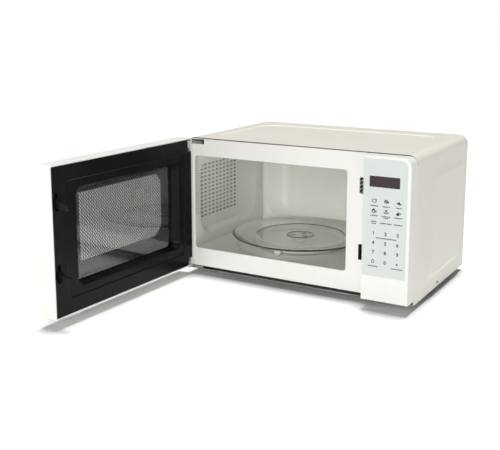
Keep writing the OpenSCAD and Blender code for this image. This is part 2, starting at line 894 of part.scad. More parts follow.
module control_board() {
    z = [panel_z0 + 14, panel_z1 - 20];
    color("darkgreen")
        block([panel_x0 + 4, x_right - 6], [board_y, board_y + 1.6], z);
    color("midnightblue")
    for (i = [0 : 1])
        block([panel_x0 + 12 + i * 26, panel_x0 + 30 + i * 26], [board_y + 1.6, board_y + 16],
              [z[0] + 12, z[0] + 40]);
    color("gold")
        block([panel_x0 + 14, panel_x0 + 50], [board_y + 1.6, board_y + 17], [z[0] + 62, z[0] + 92]);
    color("dimgray")
        block([panel_x0 + 18, panel_x0 + 46], [board_y + 1.6, board_y + 5], [z[0] + 112, z[0] + 120]);
}

// ---- door interlock ----

switch_w = 10;
switch_body = [28, 16];
plunger_r = 1.4;
plunger_out = 2.2;
plunger_gap = 0.4;
hook_mid = 8;
lower_tip_z = slot_zs[0] + hook_mid;
upper_tip_z = slot_zs[1] + hook_mid;
plunger_y = hook_tip + plunger_gap;
monitor_y = y_front + 14;
monitor_top = slot_zs[0] + 1.4 - plunger_gap;

module interlock_bracket() {
    x = latch_x + switch_w / 2 + seat;
    y = [y_front + sheet + seat, plunger_y + plunger_out + switch_body[1] + 4];
    color("white") {
        block([x, x + 2.5], y, [slot_zs[0] - 22, slot_zs[1] + slot_h + 8]);
        // Ledge under the upper hook and cross rib behind the slots
        block([latch_x - 6, x + 0.5], [y[0], y[0] + 14], [slot_zs[1] - 4, slot_zs[1] - 1]);
        block([latch_x - 6, x + 0.5], [y[0], y[0] + 3], [slot_zs[0] + slot_h + 4, slot_zs[0] + slot_h + 8]);
        block([latch_x - 6, x + 0.5], [y[0], y[0] + 3], [slot_zs[1] + slot_h + 4, slot_zs[1] + slot_h + 8]);
    }
}

// A snap-action switch that faces a hook's tip at height z
module facing_switch(z) {
    y = plunger_y + plunger_out;
    color("dimgray")
    difference() {
        block([latch_x - switch_w / 2, latch_x + switch_w / 2], [y, y + switch_body[1]],
              [z - 8, z - 8 + switch_body[0]]);
        bar_y(latch_x, [y - 1, y + 6], z, plunger_r + run);
    }
    color("silver")
    for (dz = [-4, 5, 15])
        block([latch_x - 0.4, latch_x + 0.4], [y + switch_body[1], y + switch_body[1] + 6],
              [z + dz - 2, z + dz + 2]);
}

// Its plunger
module facing_plunger(z) {
    color("firebrick")
        bar_y(latch_x, [plunger_y, plunger_y + plunger_out + 4], z, plunger_r);
}

module monitor_switch() {
    z = monitor_top - plunger_out;
    color("dimgray")
    difference() {
        block([latch_x - switch_w / 2, latch_x + switch_w / 2], [monitor_y - 10, monitor_y - 10 + switch_body[0]],
              [z - switch_body[1], z]);
        translate([latch_x, monitor_y, z - 6])
            cylinder(h = 7, r = plunger_r + run);
    }
}

module monitor_plunger() {
    color("firebrick")
    translate([latch_x, monitor_y, monitor_top - plunger_out - 4])
        cylinder(h = plunger_out + 4, r = plunger_r);
}

// ---- hinges ----

module upper_hinge() {
    z = [upper_hinge_z, upper_hinge_z + hinge_plate_t];
    color("silver") {
        block([hinge_x - hinge_boss_r, hinge_x + hinge_boss_r], [hinge_y, y_front - 0.4], z);
        block([hinge_x + 1, hinge_x + 26], [y_front - 0.9, y_front + 14], z);
        block([hinge_x + 1, hinge_x + 26],
              [y_front + sheet + seat, y_front + sheet + seat + hinge_plate_t], [z[0] - 14, z[0] + 1]);
        translate([hinge_x, hinge_y, z[0]])
            cylinder(h = hinge_plate_t, r = hinge_boss_r);
        translate([hinge_x, hinge_y, z[0] - hinge_pin_l])
            cylinder(h = hinge_pin_l + 1, r = hinge_pin_r);
    }
}

module lower_hinge() {
    hinge_left = base_x[0] + sheet + seat;
    z = [lower_hinge_z, lower_hinge_z + hinge_plate_t];
    color("silver") {
        block([hinge_x - hinge_boss_r, hinge_x + hinge_boss_r], [hinge_y, y_front + 1], z);
        block([hinge_left, hinge_x + 26], [y_front, y_front + 24], z);
        block([hinge_left, hinge_x + 26], [y_front + 12, y_front + 24], [base_z + sheet, z[0] + 1]);
        translate([hinge_x, hinge_y, z[0]])
            cylinder(h = hinge_plate_t, r = hinge_boss_r);
        translate([hinge_x, hinge_y, z[1] - 1])
            cylinder(h = hinge_pin_l + 1, r = hinge_pin_r);
    }
}

// ---- door, each piece drawn closed and turned open ----

frame_y = [door_out + fascia_t, door_in];
corner_r = 3;

// The frame's outline with a round edge on the hinge side, seen from above
module door_plan(y) {
    translate([door_x[0] + corner_r, y[0]])
        square([door_x[1] - door_x[0] - corner_r, y[1] - y[0]]);
    translate([door_x[0], y[0]])
        square([corner_r + 1, y[1] - y[0] - corner_r]);
    translate([door_x[0] + corner_r, y[1] - corner_r])
        circle(corner_r);
}

module door_frame() {
    hole_r = hinge_pin_r + run;
    color("ivory")
    opened()
        difference() {
            union() {
                difference() {
                    translate([0, 0, door_z[0]])
                        linear_extrude(door_z[1] - door_z[0])
                            door_plan(frame_y);
                    block([door_x[0] + frame_wall, door_x[1] - frame_wall], [frame_y[0] - 1, frame_y[1] + 1],
                          [door_z[0] + frame_wall, door_z[1] - frame_wall]);
                }
                // Blocks that hold the hinge pins
                for (z = [[door_z[0] + 1, door_z[0] + 14], [upper_hinge_z - 1 - 14, door_z[1] - 1]])
                    block([door_x[0] + 1, hinge_x + hinge_boss_r + 5], [frame_y[0] + 1, frame_y[1] - corner_r],
                          z);
            }
            translate([hinge_x, hinge_y, door_z[0] - 1])
                cylinder(h = hinge_pin_l + 2, r = hole_r);
            translate([hinge_x, hinge_y, upper_hinge_z - hinge_pin_l - 1.5])
                cylinder(h = hinge_pin_l + 3, r = hole_r);
            // Room for the upper hinge plate over the whole swing
            block([door_x[0] - 1, hinge_x + notch_r], [hinge_y - notch_r, frame_y[1] + 1],
                  [upper_hinge_z - 1, door_z[1] + 1]);
        }
}

module door_fascia() {
    color("ivory")
    opened()
        difference() {
            block(door_x, [door_out, frame_y[0]], door_z);
            block([door_x[0] + frame_wall, door_x[1] - frame_wall],
                  [door_out + 3, frame_y[0] + 1],
                  [door_z[0] + frame_wall, door_z[1] - frame_wall]);
            block(window_x, [door_out - 1, frame_y[0]], window_z);
        }
}

module door_window() {
    lip = 4;
    color("black", 0.6)
    opened()
        union() {
            block([window_x[0] + seat, window_x[1] - seat], [door_out, door_out + 3],
                  [window_z[0] + seat, window_z[1] - seat]);
            block([window_x[0] - lip, window_x[1] + lip], [door_out + 3, door_out + 4.5],
                  [window_z[0] - lip, window_z[1] + lip]);
        }
}

handle_x = door_x[1] - 50;

module door_handle() {
    z = [door_z[0] + 34, door_z[1] - 34];
    half = 8;
    grip = 8;
    color("ivory")
    opened() {
        translate([handle_x, 0, z[0]])
            linear_extrude(z[1] - z[0])
                union() {
                    translate([-half + grip / 2, door_out - handle_out])
                        square([2 * half - grip, grip]);
                    for (s = [-1, 1])
                        translate([s * (half - grip / 2), door_out - handle_out + grip / 2])
                            circle(grip / 2);
                }
        for (end = [[z[0], z[0] + 14], [z[1] - 14, z[1]]])
            block([handle_x - half + 2, handle_x + half - 2], [door_out - handle_out + 2, door_out], end);
    }
}

module door_inner_plate() {
    x = [door_x[0] + frame_wall + 9, door_x[1] - frame_wall - 1];
    z = [door_z[0] + frame_wall + 1, door_z[1] - frame_wall - 1];
    back = screen_y - sheet;
    color("silver")
    opened()
        difference() {
            block(x, [back, door_in - cover_t - 1], z);
            block([x[0] + sheet, x[1] - sheet], [screen_y, door_in], [z[0] + sheet, z[1] - sheet]);
            block(screen_x, [back - 1, screen_y + 1], screen_z);
            // Way through for the hinge blocks
            for (zz = [[z[0] - 1, door_z[0] + 16], [upper_hinge_z - 18, z[1] + 1]])
                block([x[0] - 1, hinge_x + hinge_boss_r + 6], [back - 1, door_in], zz);
        }
}

module door_screen() {
    edge = 4;
    y = screen_y - sheet;
    color("dimgray")
    opened()
        block([screen_x[0] - edge, screen_x[1] + edge], [y - 0.6, y], [screen_z[0] - edge, screen_z[1] + edge]);
}

module choke_cover() {
    x = [door_x[0] + frame_wall + seat, door_x[1] - frame_wall - seat];
    z = [door_z[0] + frame_wall + 3, door_z[1] - frame_wall - 2];
    well = 2;
    color("black")
    opened()
        difference() {
            union() {
                block(x, [door_in - cover_t, door_in], z);
                block([window_x[0] - well, window_x[1] + well], [screen_y + 1.5, door_in - 0.5],
                      [window_z[0] - well, window_z[1] + well]);
                // Stops above the latch spring and below the latch bar
                for (z = [spring_z[1] + 0.1, bar_z[0] - 0.3 - 2])
                    block([latch_x - 5, latch_x + 5], [latch_y - 3, door_in - 0.5], [z, z + 2]);
            }
            block(window_x, [screen_y, door_in + 1], window_z);
            for (s = slot_zs)
                block([latch_x - hook_w / 2 - 1, latch_x + hook_w / 2 + 1], [door_in - cover_t - 1, door_in + 1],
                      [s - 1, s + slot_h + 1]);
            // Corners cut back round the hinge blocks
            for (zz = [[z[0] - 1, door_z[0] + 16], [upper_hinge_z - 18, z[1] + 1]])
                block([x[0] - 1, hinge_x + hinge_boss_r + 6], [door_in - cover_t - 1, door_in + 1], zz);
        }
}

module door_film() {
    color("lightsteelblue", 0.3)
    opened()
        block([window_x[0] + seat, window_x[1] - seat], [screen_y + 1.5, screen_y + 2.1],
              [window_z[0] + seat, window_z[1] - seat]);
}

// ---- latch ----

// One hook's outline, seen from the side: depth from the bar, and height above its slot's foot
module hook_outline() {
    reach = hook_tip - latch_y - 2;
    polygon([
        [0, 3], [reach - 6, 3], [reach - 6, 1.4], [reach - 4, 1.4], [reach, 5], [reach, 11],
        [reach - 14, 13], [reach - 22, 20], [0, 20]
    ]);
}

module latch_bar() {
    color("black")
    opened()
        union() {
            block([latch_x - bar_half, latch_x + bar_half], [latch_y - 2, latch_y + 2], bar_z);
            for (z = slot_zs)
                translate([0, latch_y + 2, z])
                    wall_x(latch_x - hook_w / 2, hook_w)
                        hook_outline();
        }
}

module latch_spring() {
    wire = 0.9;
    coil_r = 3;
    turns = 6;
    color("silver")
    opened()
        for (i = [0 : turns])
            translate([latch_x, latch_y, spring_z[0] + wire / 2 + i * (spring_z[1] - spring_z[0] - wire) / turns])
                rotate_extrude()
                    translate([coil_r, 0])
                        circle(wire / 2, $fn = 16);
}

outer_cabinet();
base_plate();
foot_pads();
rear_panel();
cord_bushing();
case_screws();
front_plate();
cavity_left_wall();
cavity_right_wall();
cavity_ceiling();
cavity_floor();
turntable_well();
cavity_back_wall();
waveguide_cover();
waveguide();
magnetron();
transformer_core();
transformer_windings();
hv_capacitor();
capacitor_clamp();
hv_diode();
fan_motor();
fan_shroud();
fan_blade();
turntable_motor();
turntable_shaft();
turntable_coupler();
roller_ring();
roller_wheel(30);  // roller_wheel_a
roller_wheel(150);  // roller_wheel_b
roller_wheel(270);  // roller_wheel_c
glass_tray();
oven_lamp();
lamp_holder();
thermal_cutouts();
noise_filter_board();
control_panel();
control_board();
display_module();
display_window();
keypad_membrane();
interlock_bracket();
facing_switch(lower_tip_z);  // primary_switch
facing_switch(upper_tip_z);  // secondary_switch
monitor_switch();
facing_plunger(lower_tip_z);  // primary_plunger
facing_plunger(upper_tip_z);  // secondary_plunger
monitor_plunger();
upper_hinge();
lower_hinge();
door_frame();
door_fascia();
door_window();
door_handle();
door_inner_plate();
door_screen();
choke_cover();
door_film();
latch_bar();
latch_spring();
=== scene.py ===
"""Compact microwave oven with its door open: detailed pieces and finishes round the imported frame."""

import json
import math

import bmesh
import bpy
from bpy.props import FloatProperty, FloatVectorProperty, PointerProperty
from mathutils import Matrix, Vector


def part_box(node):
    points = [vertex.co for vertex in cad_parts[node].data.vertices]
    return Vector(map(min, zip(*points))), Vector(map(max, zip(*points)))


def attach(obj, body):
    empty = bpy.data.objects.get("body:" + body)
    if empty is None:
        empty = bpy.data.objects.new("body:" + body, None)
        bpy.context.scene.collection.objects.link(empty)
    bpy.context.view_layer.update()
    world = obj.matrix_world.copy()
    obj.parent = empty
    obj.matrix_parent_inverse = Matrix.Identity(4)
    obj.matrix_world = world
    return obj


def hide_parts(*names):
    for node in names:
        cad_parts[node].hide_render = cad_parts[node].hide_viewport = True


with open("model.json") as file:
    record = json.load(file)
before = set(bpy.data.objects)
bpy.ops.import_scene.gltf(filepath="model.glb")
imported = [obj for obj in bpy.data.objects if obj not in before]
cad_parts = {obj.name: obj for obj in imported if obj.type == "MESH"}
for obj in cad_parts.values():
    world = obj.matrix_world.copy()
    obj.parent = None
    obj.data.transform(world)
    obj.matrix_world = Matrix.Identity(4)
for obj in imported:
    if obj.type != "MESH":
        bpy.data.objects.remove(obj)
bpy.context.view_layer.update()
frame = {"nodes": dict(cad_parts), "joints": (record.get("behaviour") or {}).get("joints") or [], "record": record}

bl_info = {
    "name": "Microwave Oven",
    "version": (1, 0, 0),
    "blender": (4, 5, 0),
    "location": "3D View > Sidebar > Oven",
    "description": "Builds the visible pieces of a countertop microwave oven",
    "category": "Add Mesh",
}

MM = 0.001
RIGHT, BACK, UP = Vector((1, 0, 0)), Vector((0, 1, 0)), Vector((0, 0, 1))
ROUND_STEPS = 6
NUDGE = 0.01   # keeps neighbouring loops out of one plane, which bridging needs


def box(node):
    """Lowest and highest corner of a frame node, in millimetres."""
    low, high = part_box(node)
    return low / MM, high / MM


# Where the frame's pieces are, in millimetres
WALL_X = box("control_panel")[1].x
CASE_LOW, CASE_HIGH = box("outer_cabinet")
FRONT_Y, REAR_Y, TOP_Z, WRAP_Z = CASE_LOW.y, CASE_HIGH.y, CASE_HIGH.z, CASE_LOW.z
CAVITY_X = (box("cavity_ceiling")[0].x, box("cavity_ceiling")[1].x)
CAVITY_Z = (box("cavity_back_wall")[0].z, box("cavity_ceiling")[0].z)
CAVITY_BACK = box("cavity_back_wall")[0].y
PANEL_LOW, PANEL_HIGH = box("control_panel")
KEYPAD_LOW, KEYPAD_HIGH = box("keypad_membrane")
DISPLAY_LOW, DISPLAY_HIGH = box("display_window")
TRAY_LOW, TRAY_HIGH = box("glass_tray")
TRAY_X, TRAY_Y = (TRAY_LOW.x + TRAY_HIGH.x) / 2, (TRAY_LOW.y + TRAY_HIGH.y) / 2
TRAY_R = (TRAY_HIGH.x - TRAY_LOW.x) / 2
DOOR_JOINT = next(j for j in frame["joints"] if j["name"] == "door_hinge")
HINGE_X, HINGE_Y = DOOR_JOINT["pos_m"][0] / MM, DOOR_JOINT["pos_m"][1] / MM
DOOR_OPEN = math.radians(-DOOR_JOINT["range_deg"][0])

# The closed door, in millimetres
DOOR_X, DOOR_Z = (HINGE_X - 5, PANEL_LOW.x - 2.5), (box("door_frame")[0].z, box("door_frame")[1].z)
DOOR_IN, DOOR_OUT = HINGE_Y + 5.5, HINGE_Y - 26.5
SEAM_Y = DOOR_OUT + 8
WINDOW_X, WINDOW_Z = (-179, 80), (59.5, 212.5)
SCREEN_X, SCREEN_Z = (-165, 66), (69.5, 204.5)
SCREEN_Y = DOOR_IN - 17
SLOT_X, SLOT_HEIGHTS = (PANEL_LOW.x - 18.5, PANEL_LOW.x - 9.5), ((74, 101), (187, 214))

finishes = {}


# ---- drawing helpers, all in millimetres ----


def grow(span, by):
    """A [low, high] pair with its ends moved out."""
    return (span[0] - by, span[1] + by)


def corners_of(verts, x, y, chosen):
    """The corner vertices that chosen names, such as 'left top'."""
    picked = []
    for v in verts:
        word = ("right" if v.co.x > sum(x) / 2 else "left") + " " + ("top" if v.co.y > sum(y) / 2 else "low")
        if chosen is None or word in chosen:
            picked.append(v)
    return picked


def patch(bm, x, y, radius=0.0, z=0.0, steps=ROUND_STEPS, chosen=None):
    """One flat face between x and y with round corners."""
    before = set(bm.faces)
    verts = bmesh.ops.create_grid(bm, x_segments=1, y_segments=1, size=1)["verts"]
    for v in verts:
        v.co = (x[v.co.x > 0], y[v.co.y > 0], z)
    if radius > 0:
        bmesh.ops.bevel(bm, geom=corners_of(verts, x, y, chosen), offset=radius, offset_type="OFFSET",
                        segments=steps, profile=0.5, affect="VERTICES", material=-1)
    return next(f for f in bm.faces if f not in before)


def rim(bm, *args, **named):
    """The edge loop of a patch, without its face."""
    face = patch(bm, *args, **named)
    edges = list(face.edges)
    bmesh.ops.delete(bm, geom=[face], context="FACES_ONLY")
    return edges


def disc_rim(bm, x, y, radius, z=0.0, steps=64):
    """A round edge loop."""
    verts = bmesh.ops.create_circle(bm, segments=steps, radius=radius)["verts"]
    bmesh.ops.translate(bm, vec=(x, y, z), verts=verts)
    return list({e for v in verts for e in v.link_edges})


def join_rims(bm, rims):
    """Bridges each loop to the next."""
    for outer, inner in zip(rims, rims[1:]):
        bmesh.ops.bridge_loops(bm, edges=outer + inner)


def terraces(bm, levels, floor=True, steps=ROUND_STEPS, chosen=None):
    """Bridges round rectangles, given as x, y, radius and height, from the first to the last."""
    rims = []
    for step, (x, y, radius, z) in enumerate(levels[:-1] if floor else levels):
        rims.append(rim(bm, x, y, radius, z - step * NUDGE, steps=steps, chosen=chosen))
    if floor:
        x, y, radius, z = levels[-1]
        rims.append(list(patch(bm, x, y, radius, z - len(rims) * NUDGE, steps=steps, chosen=chosen).edges))
    join_rims(bm, rims)
    return rims


def sheet_between(bm, *rims):
    """Fills the flat space between an outline and the loops inside it."""
    edges = [e for one in rims for e in one]
    bmesh.ops.triangle_fill(bm, use_beauty=True, use_dissolve=False, edges=edges)


def lay(bm, u, v, origin=(0, 0, 0), old=()):
    """Turns what was drawn flat so that it lies along u and v, apart from the old vertices."""
    turn = Matrix((u, v, u.cross(v))).transposed().to_4x4()
    fresh = [w for w in bm.verts if w not in old]
    bmesh.ops.transform(bm, matrix=Matrix.Translation(origin) @ turn, verts=fresh)


def face_towards(bm, direction):
    """Makes an open sheet's faces agree and look along direction."""
    bmesh.ops.recalc_face_normals(bm, faces=bm.faces)
    total = sum((f.normal * f.calc_area() for f in bm.faces), Vector())
    if total.dot(direction) < 0:
        bmesh.ops.reverse_faces(bm, faces=bm.faces)


def thicken(bm, amount):
    """Gives a sheet its thickness behind its faces."""
    bmesh.ops.remove_doubles(bm, verts=bm.verts, dist=0.003)
    bmesh.ops.solidify(bm, geom=bm.faces[:], thickness=amount)


def bevel_where(bm, test, offset, segments=3):
    """Rounds the edges that pass a test."""
    edges = [e for e in bm.edges if test(e)]
    bmesh.ops.bevel(bm, geom=edges, offset=offset, offset_type="OFFSET", segments=segments,
                    profile=0.5, affect="EDGES", clamp_overlap=True, material=-1)


def block(bm, x, y, z, soft=0.0, segments=2):
    """A box with soft edges."""
    old = set(bm.edges)
    verts = bmesh.ops.create_cube(bm, size=2)["verts"]
    for v in verts:
        v.co = (x[v.co.x > 0], y[v.co.y > 0], z[v.co.z > 0])
    if soft > 0:
        bevel_where(bm, lambda e: e not in old, soft, segments)


def lathe(bm, profile, centre, axis=UP, side=RIGHT, steps=64, closed=False):
    """Spins a line of (radius, height) points round an axis."""
    old = set(bm.verts)
    verts = [bm.verts.new(Vector(centre) + side * r + axis * h) for r, h in profile]
    edges = [bm.edges.new(pair) for pair in zip(verts, verts[1:])]
    if closed:
        edges.append(bm.edges.new((verts[-1], verts[0])))
    bmesh.ops.spin(bm, geom=verts + edges, cent=centre, axis=axis, angle=2 * math.pi,
                   steps=steps, use_merge=True)
    fresh = [v for v in bm.verts if v not in old]
    bmesh.ops.remove_doubles(bm, verts=fresh, dist=0.003)
    faces = [f for f in bm.faces if any(v not in old for v in f.verts)]
    bmesh.ops.recalc_face_normals(bm, faces=faces)


def swing(bm):
    """Turns what was drawn on the closed door to where the open door holds it."""
    turn = Matrix.Rotation(-DOOR_OPEN, 3, "Z")
    bmesh.ops.rotate(bm, cent=(HINGE_X, HINGE_Y, 0), matrix=turn, verts=bm.verts)


def piece(bm, name, body, slot, *nodes, crease=34):
    """Makes the mesh an object that rides on a body and stands for the named nodes."""
    bmesh.ops.scale(bm, vec=(MM, MM, MM), verts=bm.verts)
    mesh = bpy.data.meshes.new(name)
    bm.to_mesh(mesh)
    bm.free()
    mesh.shade_smooth()
    mesh.set_sharp_from_angle(angle=math.radians(crease))
    item = bpy.data.objects.new(name, mesh)
    bpy.context.scene.collection.objects.link(item)
    mesh.materials.append(finishes[slot])
    weighted = item.modifiers.new("Even shading", "WEIGHTED_NORMAL")
    weighted.keep_sharp = True
    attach(item, body)
    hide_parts(*nodes)
    return item


# ---- finishes ----


class Nodes:
    """A short way to write a material's node tree."""

    def __init__(self, name):
        self.material = bpy.data.materials.new(name)
        self.material.use_nodes = True
        self.tree = self.material.node_tree
        self.shader = self.tree.nodes["Principled BSDF"]

    def add(self, kind, **values):
        node = self.tree.nodes.new("ShaderNode" + kind)
        for key, value in values.items():
            if hasattr(node, key) and not isinstance(value, tuple):
                setattr(node, key, value)
            else:
                node.inputs[key.replace("_", " ")].default_value = value
        return node

    def link(self, source, target):
        self.tree.links.new(source, target)

    def noise(self, scale, detail=3.0, stretch=(1, 1, 1)):
        where = self.add("TexCoord")
        mapping = self.add("Mapping")
        mapping.inputs["Scale"].default_value = stretch
        self.link(where.outputs["Object"], mapping.inputs["Vector"])
        noise = self.add("TexNoise")
        noise.inputs["Scale"].default_value = scale
        noise.inputs["Detail"].default_value = detail
        self.link(mapping.outputs["Vector"], noise.inputs["Vector"])
        return noise.outputs["Fac"]

    def vary_colour(self, colour, fac, spread):
        ramp = self.add("ValToRGB")
        low = [max(0.0, c * (1 - spread)) for c in colour[:3]] + [1]
        high = [min(1.0, c * (1 + spread)) for c in colour[:3]] + [1]
        ramp.color_ramp.elements[0].position = 0.3
        ramp.color_ramp.elements[0].color = low
        ramp.color_ramp.elements[1].position = 0.7
        ramp.color_ramp.elements[1].color = high
        self.link(fac, ramp.inputs["Fac"])
        self.link(ramp.outputs["Color"], self.shader.inputs["Base Color"])

    def vary_roughness(self, rough, fac, spread):
        band = self.add("MapRange")
        band.inputs["To Min"].default_value = max(0.02, rough - spread)
        band.inputs["To Max"].default_value = min(1.0, rough + spread)
        self.link(fac, band.inputs["Value"])
        self.link(band.outputs["Result"], self.shader.inputs["Roughness"])

    def bump(self, fac, depth, strength=1.0):
        bump = self.add("Bump")
        bump.inputs["Distance"].default_value = depth
        bump.inputs["Strength"].default_value = strength
        self.link(fac, bump.inputs["Height"])
        self.link(bump.outputs["Normal"], self.shader.inputs["Normal"])


def solid_finish(name, colour, rough, metal=0.0, grain=400.0, stretch=(1, 1, 1), depth=0.00002,
                 spread=0.03, rough_spread=0.05, coat=0.0, patches=12.0):
    """An opaque finish: slow colour change, fine grain in bump and roughness."""
    made = Nodes(name)
    made.shader.inputs["Metallic"].default_value = metal
    made.shader.inputs["Coat Weight"].default_value = coat
    made.shader.inputs["Coat Roughness"].default_value = 0.08
    made.vary_colour(colour, made.noise(patches, 4.0), spread)
    fine = made.noise(grain, 3.0, stretch)
    made.vary_roughness(rough, fine, rough_spread)
    made.bump(fine, depth)
    finishes[name] = made.material
    return made


def glass_finish(name, colour, rough=0.0, ior=1.5, grain=60.0, depth=0.00001):
    """A clear finish with a faint ripple."""
    made = Nodes(name)
    shader = made.shader
    shader.inputs["Transmission Weight"].default_value = 1.0
    shader.inputs["IOR"].default_value = ior
    made.vary_colour(colour, made.noise(20.0), 0.01)
    ripple = made.noise(grain)
    made.vary_roughness(rough + 0.02, ripple, 0.01)
    made.bump(ripple, depth)
    finishes[name] = made.material
    return made


class FinishSettings(bpy.types.PropertyGroup):
    """Colours of the oven's finishes."""

    enamel: FloatVectorProperty(name="Case Enamel", description="Colour of the wrapper's powder coat",
                                default=(0.83, 0.80, 0.72), subtype="COLOR", min=0, max=1)
    front: FloatVectorProperty(name="Front Enamel", description="Colour of the front plate and the panel",
                               default=(0.86, 0.85, 0.81), subtype="COLOR", min=0, max=1)
    cavity: FloatVectorProperty(name="Cavity Enamel", description="Colour of the oven's inside",
                                default=(0.86, 0.86, 0.80), subtype="COLOR", min=0, max=1)
    membrane: FloatVectorProperty(name="Keypad Film", description="Colour of the flat keypad",
                                  default=(0.66, 0.70, 0.665), subtype="COLOR", min=0, max=1)
    choke: FloatVectorProperty(name="Choke Cover", description="Colour of the door's inner face",
                               default=(0.007, 0.007, 0.006), subtype="COLOR", min=0, max=1)


class MakeFinishes(bpy.types.Operator):
    """Make every finish and give the frame's own nodes theirs"""

    bl_idname = "oven.make_finishes"
    bl_label = "Finishes"

    def execute(self, context):
        look = context.scene.oven_finishes
        solid_finish("cream_enamel", look.enamel, 0.38, grain=900, depth=0.00001, spread=0.012, coat=0.15)
        solid_finish("white_enamel", look.front, 0.32, grain=700, depth=0.000008, spread=0.01, coat=0.2)
        solid_finish("cavity_enamel", look.cavity, 0.34, grain=600, depth=0.00001, spread=0.02, coat=0.25)
        solid_finish("panel_plastic", look.front, 0.33, grain=1500, depth=0.000006, spread=0.01)
        solid_finish("door_plastic", look.front, 0.35, grain=1500, depth=0.000006, spread=0.01)
        solid_finish("membrane_film", look.membrane, 0.42, grain=2600, depth=0.000004, spread=0.01)
        black = solid_finish("black_plastic", look.choke, 0.24, grain=260, depth=0.000012, spread=0.2,
                             rough_spread=0.04)
        black.shader.inputs["Specular IOR Level"].default_value = 0.1
        solid_finish("dark_plastic", (0.035, 0.035, 0.035), 0.5, grain=1400, depth=0.00001)
        solid_finish("white_plastic", (0.78, 0.78, 0.74), 0.4, grain=1400, depth=0.000006)
        solid_finish("grey_plastic", (0.30, 0.31, 0.31), 0.42, grain=1400, depth=0.000006)
        solid_finish("wheel_plastic", (0.82, 0.82, 0.79), 0.38, grain=1400, depth=0.000006)
        solid_finish("red_plastic", (0.42, 0.03, 0.02), 0.4, grain=1400, depth=0.000006)
        solid_finish("board_laminate", (0.30, 0.19, 0.07), 0.55, grain=700, stretch=(1, 6, 1), spread=0.1)
        solid_finish("grey_rubber", (0.16, 0.17, 0.15), 0.7, grain=1800, depth=0.00003)
        solid_finish("mica", (0.40, 0.35, 0.26), 0.6, grain=300, stretch=(1, 2, 5), spread=0.15)
        solid_finish("galvanised_steel", (0.40, 0.42, 0.38), 0.42, metal=0.35, grain=160, spread=0.12,
                     rough_spread=0.1)
        solid_finish("core_steel", (0.06, 0.062, 0.065), 0.5, metal=0.3, grain=900, stretch=(1, 1, 14))
        solid_finish("copper_winding", (0.42, 0.17, 0.07), 0.4, metal=0.6, grain=500, stretch=(1, 1, 20))
        solid_finish("aluminium_can", (0.62, 0.63, 0.64), 0.35, metal=0.9, grain=700, stretch=(12, 1, 1))
        solid_finish("zinc", (0.55, 0.56, 0.57), 0.3, metal=0.9, grain=900, spread=0.06)
        solid_finish("hinge_steel", (0.52, 0.53, 0.52), 0.35, metal=0.8, grain=900, stretch=(1, 8, 1))
        solid_finish("screen_metal", (0.010, 0.010, 0.010), 0.4, grain=1800, spread=0.1)
        solid_finish("display_lens", (0.006, 0.005, 0.005), 0.07, grain=500, depth=0.000002)
        glass_finish("tray_glass", (0.985, 0.995, 0.98), 0.03, 1.5)
        glass_finish("lamp_glass", (0.97, 0.95, 0.88), 0.02)
        glass_finish("dark_window", (0.64, 0.62, 0.61), 0.0)
        glass_finish("clear_film", (0.97, 0.97, 0.97), 0.0, 1.45)
        # The display is unlit: the segments' red is their own colour, and their faint glow is painted light, an
        # emission standing in for the light that falls on them.
        painted_glow = solid_finish("segment_print_and_painted_glow", (0.05, 0.012, 0.009), 0.3, grain=900)
        painted_glow.shader.inputs["Emission Color"].default_value = (0.25, 0.05, 0.035, 1)
        painted_glow.shader.inputs["Emission Strength"].default_value = 0.25
        solid_finish("key_print", (0.035, 0.037, 0.035), 0.6, grain=3000, spread=0.2)
        for row in frame["record"]["subparts"]:
            node = frame["nodes"][row["node"]]
            node.data.materials.clear()
            node.data.materials.append(finishes[row["material_slot"]])
        return {"FINISHED"}


# ---- cabinet ----


class CabinetSettings(bpy.types.PropertyGroup):
    """Sizes of the cabinet's visible shapes."""

    corner: FloatProperty(name="Corner Radius", description="Radius of the two long top corners",
                          default=16 * MM, min=8 * MM, max=24 * MM, unit="LENGTH")
    sheet: FloatProperty(name="Sheet", description="Thickness of the sheet steel",
                         default=0.8 * MM, min=0.5 * MM, max=1.2 * MM, unit="LENGTH")
    side_rise: FloatProperty(name="Side Panel Rise", description="How far the side panels stand out",
                             default=4 * MM, min=1 * MM, max=4 * MM, unit="LENGTH")


def side_levels(rise):
    """The side panel's stamped slope, flat outside and steepest at its inner line, along Y and Z."""
    outer_y, outer_z = (FRONT_Y + 34, REAR_Y - 18), (WRAP_Z + 17.5, TOP_Z - 26)
    inner_y, inner_z = (FRONT_Y + 77, REAR_Y - 30), (WRAP_Z + 32.5, TOP_Z - 49)
    levels = []
    for share in (0.0, 0.25, 0.45, 0.62, 0.76, 0.88, 0.95, 0.985, 1.0):
        y = [a + (b - a) * share for a, b in zip(outer_y, inner_y)]
        z = [a + (b - a) * share for a, b in zip(outer_z, inner_z)]
        height = rise * (share ** 3.0 if share < 0.98 else 1.0 if share == 1.0 else 0.985)
        levels.append((y, z, 34 - 20 * share, height))
    return levels


